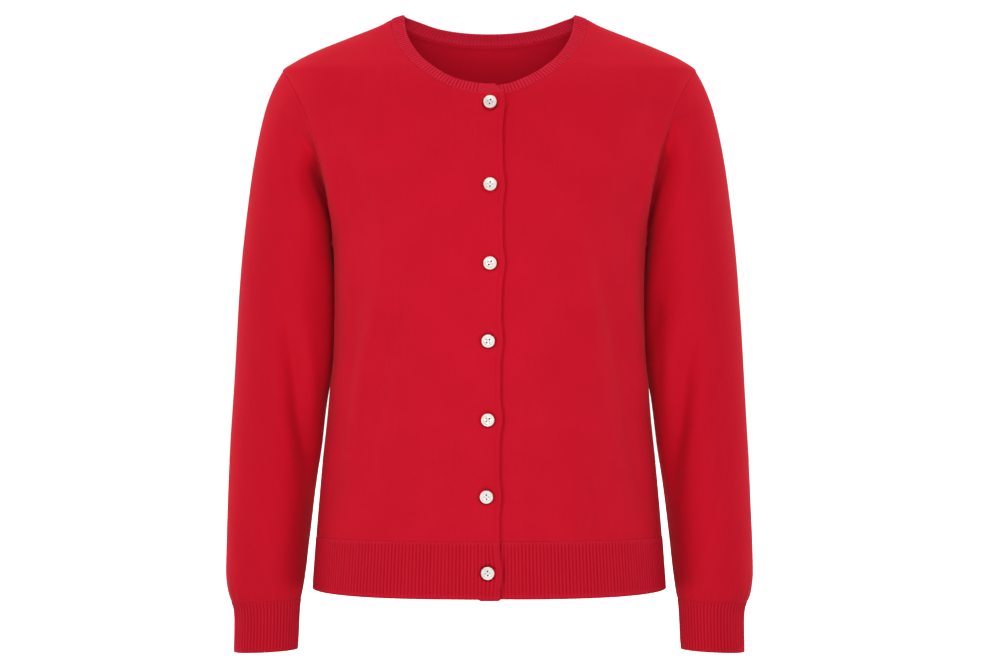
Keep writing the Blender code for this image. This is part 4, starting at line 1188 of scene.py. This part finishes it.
def make_sleeve(side):
    """The sleeve, from the armhole seam to the cuff, with its own seam along the inner line: the arm's
    surface, with folds along its normals, and the crease and hollow pressed straight back."""
    fine = np.linspace(0, CUFF_RING, GUIDE_POINTS)
    along = runs(np.stack([arm_line("outer", fine), arm_line("inner", fine)])).mean(axis=0)
    places = shares_between(along[-1:], [2 * s for s in EDGE_STEPS], EDGE_STEPS, STEP)[0] * along[-1]
    ring = np.interp(places, along, fine)[:, None]
    whole = np.radians(np.interp(np.arange(ARM_COLUMNS[-1][0] + 1), *zip(*ARM_COLUMNS)))[None, :]
    angle = whole[:, :-1]
    plain = arm(angle, ring)
    degrees = np.degrees(angle) % 360
    drop = -plain[..., 2]
    above = along[-1] - places[:, None]
    around = ARM_MM_A_DEGREE * degrees
    beside_seam = ARM_MM_A_DEGREE * np.abs(degrees - 180)
    from_armhole = edge_distances(plain, closed=True)["top"]
    seed = 5.0 if side == "right" else 7.0
    height = folds(degrees, drop, ARM_FOLDS[side], ARM_MM_A_DEGREE) * ease(from_armhole / ARM_FOLD_START)
    height = height + gathers(around, above, reach=11, length=15, height=0.5, seed=seed)
    uneven = ease(ring / UNEVEN_START_RINGS) * ease(beside_seam / SLEEVE_SEAM_EVEN)
    height = height + undulation(around, drop, seed) * uneven
    height = height - SLEEVE_SEAM_DEPTH * np.exp(-((beside_seam / SLEEVE_SEAM_BREADTH) ** 2))
    crease = folds(degrees, drop, [ARM_CREASE[side]], ARM_MM_A_DEGREE, CREASE_SHARPNESS)
    crease = crease * ease(from_armhole / CREASE_START)
    pressed = crease + folds(degrees, drop, [ARM_HOLLOW[side]], ARM_MM_A_DEGREE)
    # Painted shade at the bottom of the crease, down to a little above the underarm
    shade = CREASE_SHADE * ease((UNDERARM_DROP - CREASE_SHADE_END - drop) / CREASE_SHADE_FADE)
    relief = shade * crease, np.zeros(crease.shape)
    shape = len(ring), whole.size
    around_length = path_length(lambda turned: arm(turned, ring), np.full(shape, -math.pi),
                                np.broadcast_to(whole, shape))
    down_length = path_length(lambda level: arm(whole, level), np.zeros(shape), np.broadcast_to(ring, shape))
    uv = np.stack([around_length, -down_length], axis=-1)
    distance = runs(plain.transpose(1, 0, 2)).T
    by_seam = blend_to_seam(arm_normal(angle, ring), armhole_seam_normals(angle[0]), distance)
    skin = plain + height[..., None] * by_seam + pressed[..., None] * FORWARDS
    folded = ring_normals(skin)
    share = np.maximum(ease(1 - distance / SEAM_BLEND), ease(1 - above / CUFF_BLEND))[..., None]
    normals = unit(folded + share * (by_seam - folded))
    rounding = {"top": (SEAM_ROUNDING, True), "bottom": (KNIT_ON_ROUNDING, False)}
    name = "sleeve_" + side
    obj = shell(name + "_cloth", skin, normals, WALL, rounding, uv, JERSEY, side, closed=True, relief=relief)
    dress(obj, name)


def make_cuff(side):
    """The cuff, from the sleeve to the wrist: the arm's surface, raised along its normals by the ribs, which
    are evenly spaced on the ring two below its start and keep their angles."""
    guide = arm(np.linspace(0, 2 * math.pi, GUIDE_POINTS), CUFF_RING + 2)
    shares, phases, length = rib_line(guide, CUFF_RIB_PITCH, closed=True)
    fine = np.linspace(CUFF_RING, WRIST_RING, GUIDE_POINTS)
    along = runs(arm_line("outer", fine)[None])[0]
    from_top = edge_to_edge(along[-1], 3, CUFF_ROWS)[:, None]
    above_edge = along[-1] - from_top
    ring = np.interp(from_top, along, fine)
    angle = 2 * math.pi * shares[None, :]
    plain, normals = arm(angle, ring), arm_normal(angle, ring)
    unevenness = uneven_ribs(phases, seed=4.0 if side == "right" else 6.0)
    ridge = rib_height(phases) * unevenness * rib_fade(from_top, above_edge)
    lift = RIB_HEIGHT * ridge - CUFF_CAST_ON_DEPTH * cast_on_groove(above_edge)
    skin = plain + lift[..., None] * normals
    uv = np.stack(np.broadcast_arrays(np.append(shares, 1.0) * length, -from_top), axis=-1)
    rounding = {"top": (KNIT_ON_ROUNDING, False), "bottom": (RIB_ROUNDING, False)}
    name = "cuff_" + side
    obj = shell(name + "_cloth", skin, normals, RIB_WALL, rounding, uv, RIBBING, side, closed=True,
                relief=rib_relief(ridge))
    dress(obj, name)


# ---- buttons ----

# Profile from the middle of the face to the middle of the back, in shares of radius and thickness
BUTTON_PROFILE = [
    (0, 0.66),
    (0.3, 0.66),
    (0.5, 0.675),
    (0.6, 0.72),
    (0.68, 0.85),
    (0.73, 0.93),
    (0.76, 0.915),
    (0.79, 0.93),
    (0.84, 0.985),
    (0.9, 1.0),
    (0.95, 0.96),
    (0.985, 0.85),
    (1.0, 0.68),
    (0.995, 0.5),
    (0.97, 0.3),
    (0.92, 0.1),
    (0.86, 0.0),
    (0.6, 0.0),
    (0, 0),
]
BUTTON_SIDES = 64
BUTTON_SHARP_ANGLE = math.radians(38)
HOLE_SIDES = 16
BORE_FLOOR = 0.1  # of the button's thickness, left under each bore
THREAD_SIDES = 8
THREAD_STEPS = 20
THREAD_OFFSET = 0.28  # of each of the two stitches, from the line between the holes
THREAD_REACH = 1.25  # as a share of the distance from the button's middle to a hole's
THREAD_RISE = 0.22  # of the arch over the button's face
THREAD_DIP = 0.24  # of the arch at each hole's middle


def button_blank():
    """The profile carried round in BUTTON_SIDES steps: x = r cos a, y = r sin a, z = height."""
    profile = np.array(BUTTON_PROFILE) * [BUTTON_RADIUS, BUTTON_THICKNESS]
    angle = np.linspace(0, 2 * math.pi, BUTTON_SIDES, endpoint=False)
    radius, height = profile[1:-1, :1], profile[1:-1, 1:]
    points = np.stack(np.broadcast_arrays(radius * np.cos(angle), radius * np.sin(angle), height), axis=-1)
    grid = closed_round(np.arange(radius.size * BUTTON_SIDES).reshape(-1, BUTTON_SIDES))
    top = np.full(BUTTON_SIDES, radius.size * BUTTON_SIDES)
    faces = lattice_quads(grid)[:, [0, 3, 2, 1]].tolist()
    faces += np.stack([top, grid[0, :-1], grid[0, 1:]], axis=-1).tolist()
    faces += np.stack([top + 1, grid[-1, 1:], grid[-1, :-1]], axis=-1).tolist()
    ends = np.array([[0, 0, profile[0, 1]], [0, 0, profile[-1, 1]]])
    mesh = bpy.data.meshes.new("button")
    mesh.from_pydata((np.concatenate([points.reshape(-1, 3), ends]) * MM).tolist(), [], faces)
    return mesh


def drilled_button(material, bore_material):
    """The blank with four bores, which end just short of its back. Their walls and floors take the dark bore
    colour, painted shade.
    """
    drill = bmesh.new()
    places = [(x * BUTTON_HOLE_PITCH / 2, y * BUTTON_HOLE_PITCH / 2) for x in (-1, 1) for y in (-1, 1)]
    for x, y in places:
        made = bmesh.ops.create_cone(
            drill,
            cap_ends=True,
            segments=HOLE_SIDES,
            radius1=BUTTON_HOLE_RADIUS * MM,
            radius2=BUTTON_HOLE_RADIUS * MM,
            depth=2 * BUTTON_THICKNESS * MM,
        )
        middle = Vector((x, y, (1 + BORE_FLOOR) * BUTTON_THICKNESS)) * MM
        bmesh.ops.translate(drill, verts=made["verts"], vec=middle)
    holes = bpy.data.meshes.new("holes")
    drill.to_mesh(holes)
    drill.free()
    turned, cutter = put_in_scene("turned", button_blank()), put_in_scene("cutter", holes)
    cut = turned.modifiers.new("holes", "BOOLEAN")
    cut.operation = "DIFFERENCE"
    cut.object = cutter
    graph = bpy.context.evaluated_depsgraph_get()
    mesh = bpy.data.meshes.new_from_object(turned.evaluated_get(graph))
    for helper in (turned, cutter):
        bpy.data.objects.remove(helper)
    mesh.materials.clear()
    mesh.materials.append(material)
    mesh.materials.append(bore_material)
    centres = np.empty(3 * len(mesh.polygons))
    mesh.polygons.foreach_get("center", centres)
    centres = centres.reshape(-1, 1, 3) / MM
    off = np.linalg.norm(centres[..., :2] - np.array(places), axis=2).min(axis=1)
    above_floor = centres[:, 0, 2] > BORE_FLOOR / 2 * BUTTON_THICKNESS
    in_bore = (off < 1.02 * BUTTON_HOLE_RADIUS) & above_floor
    mesh.polygons.foreach_set("material_index", in_bore.astype(np.int32))
    mesh.shade_smooth()
    mesh.set_sharp_from_angle(angle=BUTTON_SHARP_ANGLE)
    return mesh


def stitches(name, material):
    """Thread through two of the four holes: two low arches of round thread over the bar between them.

    An arch's height falls with the eighth power of the distance from its middle, and a circle is carried
    along it. It ends in the far wall of each hole.
    """
    share = np.linspace(-THREAD_REACH, THREAD_REACH, THREAD_STEPS)
    across = share * BUTTON_HOLE_PITCH / math.sqrt(2)
    height = BUTTON_THICKNESS * BUTTON_PROFILE[0][1] + THREAD_RISE - THREAD_DIP * share**8
    angle = np.linspace(0, 2 * math.pi, THREAD_SIDES, endpoint=False)[:, None]
    aside = np.array([0.0, 1.0, 0.0])
    index = np.arange(THREAD_STEPS * THREAD_SIDES).reshape(THREAD_STEPS, THREAD_SIDES)
    quads = lattice_quads(closed_round(index))
    points, faces = [], []
    for offset in (-THREAD_OFFSET, THREAD_OFFSET):
        base = len(points) * index.size
        centre = np.stack([across, np.full(THREAD_STEPS, offset), height], axis=-1)
        up = unit(np.cross(np.gradient(centre, axis=0), aside))[:, None]
        rings = centre[:, None] + THREAD_RADIUS * (np.cos(angle) * aside + np.sin(angle) * up)
        points.append(rings.reshape(-1, 3))
        faces += (base + quads).tolist() + [(base + index[0, ::-1]).tolist(), (base + index[-1]).tolist()]
    mesh = bpy.data.meshes.new(name)
    mesh.from_pydata((np.concatenate(points) * MM).tolist(), [], faces)
    tidy = bmesh.new()
    tidy.from_mesh(mesh)
    bmesh.ops.recalc_face_normals(tidy, faces=tidy.faces)
    tidy.to_mesh(mesh)
    tidy.free()
    mesh.materials.append(material)
    mesh.shade_smooth()
    return mesh


def make_buttons():
    """Each button stands off the cloth, half way between the cloth's slope and upright, on its lower rim."""
    button, thread = drilled_button(pearl(), bore()), stitches("thread", sewing_thread())
    for index, (drop, x) in enumerate(BUTTON_PLACES):
        turn = turn_at(np.array(x), np.array(drop))
        seat, normal = torso(turn, np.array(drop)), torso_normal(turn, np.array(drop))
        cloth_slope = math.atan2(normal[2], -normal[1])
        tilt = cloth_slope * BUTTON_UPRIGHT
        ridge = RIB_RELIEF if drop > RIB_TOP_DROP else 0
        rim = BUTTON_FOOT * BUTTON_RADIUS * math.sin(abs(cloth_slope - tilt))
        place = seat + (PLACKET_LIFT + ridge + BUTTON_STAND_OFF + rim) * normal
        put = Matrix.Translation(place * MM) @ Matrix.Rotation(math.pi / 2 - tilt, 4, "X")
        put = put @ Matrix.Rotation(math.radians(BUTTON_TURNS[index]), 4, "Z")
        for name, mesh, lay in (("disc", button, 0), ("thread", thread, -math.pi / 4)):
            mesh = mesh.copy()
            mesh.transform(put @ Matrix.Rotation(lay, 4, "Z"))
            obj = put_in_scene(f"button_{index + 1}_{name}", mesh)
            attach(obj, "root")
            if name == "disc":
                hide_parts(f"button_{index + 1}")


# ---- studio ----

FLOOR_DROP = 0.665
FLOOR_HALF_SIZE = 6.0
BACKDROP_STRENGTH = 1.2
MIRRORED_WALLS_STRENGTH = 0.5
SOFTBOX_ENERGY = 34.5
SOFTBOX_SIZE = 1.2
SOFTBOX_PLACE = Vector((0, -2.2, -0.1))
SOFTBOX_AIM = Vector((0, 0, -0.25))
CAMERA_PLACE = (0.0147, -3.5, -0.322)
CAMERA_LENS = 125
SUN_SPREAD = math.radians(50)
# Large diffusers, far off: strength and the way that their light travels
SOFT_SUNS = [
    ("left_diffuser", 0.55, (0.87, 0.5, 0)),
    ("right_diffuser", 0.35, (-0.87, 0.5, 0)),
    ("left_rim", 2.0, (0.65, -0.4, -0.6)),
    ("right_rim", 1.8, (-0.65, -0.4, -0.6)),
    ("left_rear", 0.8, (0.9, -0.4, -0.1)),
    ("right_rear", 0.9, (-0.9, -0.4, -0.1)),
    ("overhead", 0.55, (0, -0.3, -0.95)),
    ("table_bounce", 0.55, (0, 0.3, 1)),
]


def make_floor():
    mesh = bpy.data.meshes.new("floor")
    corners = [(-1, -1), (1, -1), (1, 1), (-1, 1)]
    points = [(x * FLOOR_HALF_SIZE, y * FLOOR_HALF_SIZE, -FLOOR_DROP) for x, y in corners]
    mesh.from_pydata(points, [], [(0, 1, 2, 3)])
    mesh.materials.append(studio_floor())
    floor = put_in_scene("studio_floor", mesh)
    floor.visible_diffuse = False
    floor.visible_shadow = False


def make_world():
    """White for the camera and half as bright in reflections. It gives no other light: the lamps do."""
    world = bpy.data.worlds.new("studio")
    bpy.context.scene.world = world
    world.use_nodes = True
    tree = world.node_tree
    rays = add(tree, "ShaderNodeLightPath").outputs
    walls = add(tree, "ShaderNodeMath", {"operation": "MULTIPLY"}, _0=rays["Is Glossy Ray"],
                _1=MIRRORED_WALLS_STRENGTH)
    strength = add(tree, "ShaderNodeMath", {"operation": "MULTIPLY_ADD"}, _0=rays["Is Camera Ray"],
                   _1=BACKDROP_STRENGTH, _2=walls.outputs[0])
    fill(tree, tree.nodes["Background"], Color=(1, 1, 1, 1), Strength=strength.outputs[0])


def make_light(name, kind, energy, direction):
    lamp = bpy.data.lights.new(name, kind)
    lamp.energy = energy
    light = put_in_scene(name, lamp)
    light.rotation_euler = direction.to_track_quat("-Z", "Y").to_euler()
    return light


def make_lights():
    for name, energy, direction in SOFT_SUNS:
        make_light(name, "SUN", energy, Vector(direction)).data.angle = SUN_SPREAD
    softbox = make_light("front_softbox", "AREA", SOFTBOX_ENERGY, SOFTBOX_AIM - SOFTBOX_PLACE)
    softbox.data.size = SOFTBOX_SIZE
    softbox.location = SOFTBOX_PLACE
    softbox.visible_camera = False


def make_camera():
    camera = put_in_scene("camera", bpy.data.cameras.new("camera"))
    camera.data.lens = CAMERA_LENS
    camera.data.sensor_width = 36
    camera.location = CAMERA_PLACE
    camera.rotation_euler = (math.pi / 2, 0, 0)
    bpy.context.scene.camera = camera


make_front("right")
make_front("left")
make_back()
make_neckband()
make_hem()
for side in ("right", "left"):
    make_sleeve(side)
    make_cuff(side)
make_buttons()
bpy.context.scene.view_settings.view_transform = "Standard"
make_floor()
make_world()
make_lights()
make_camera()
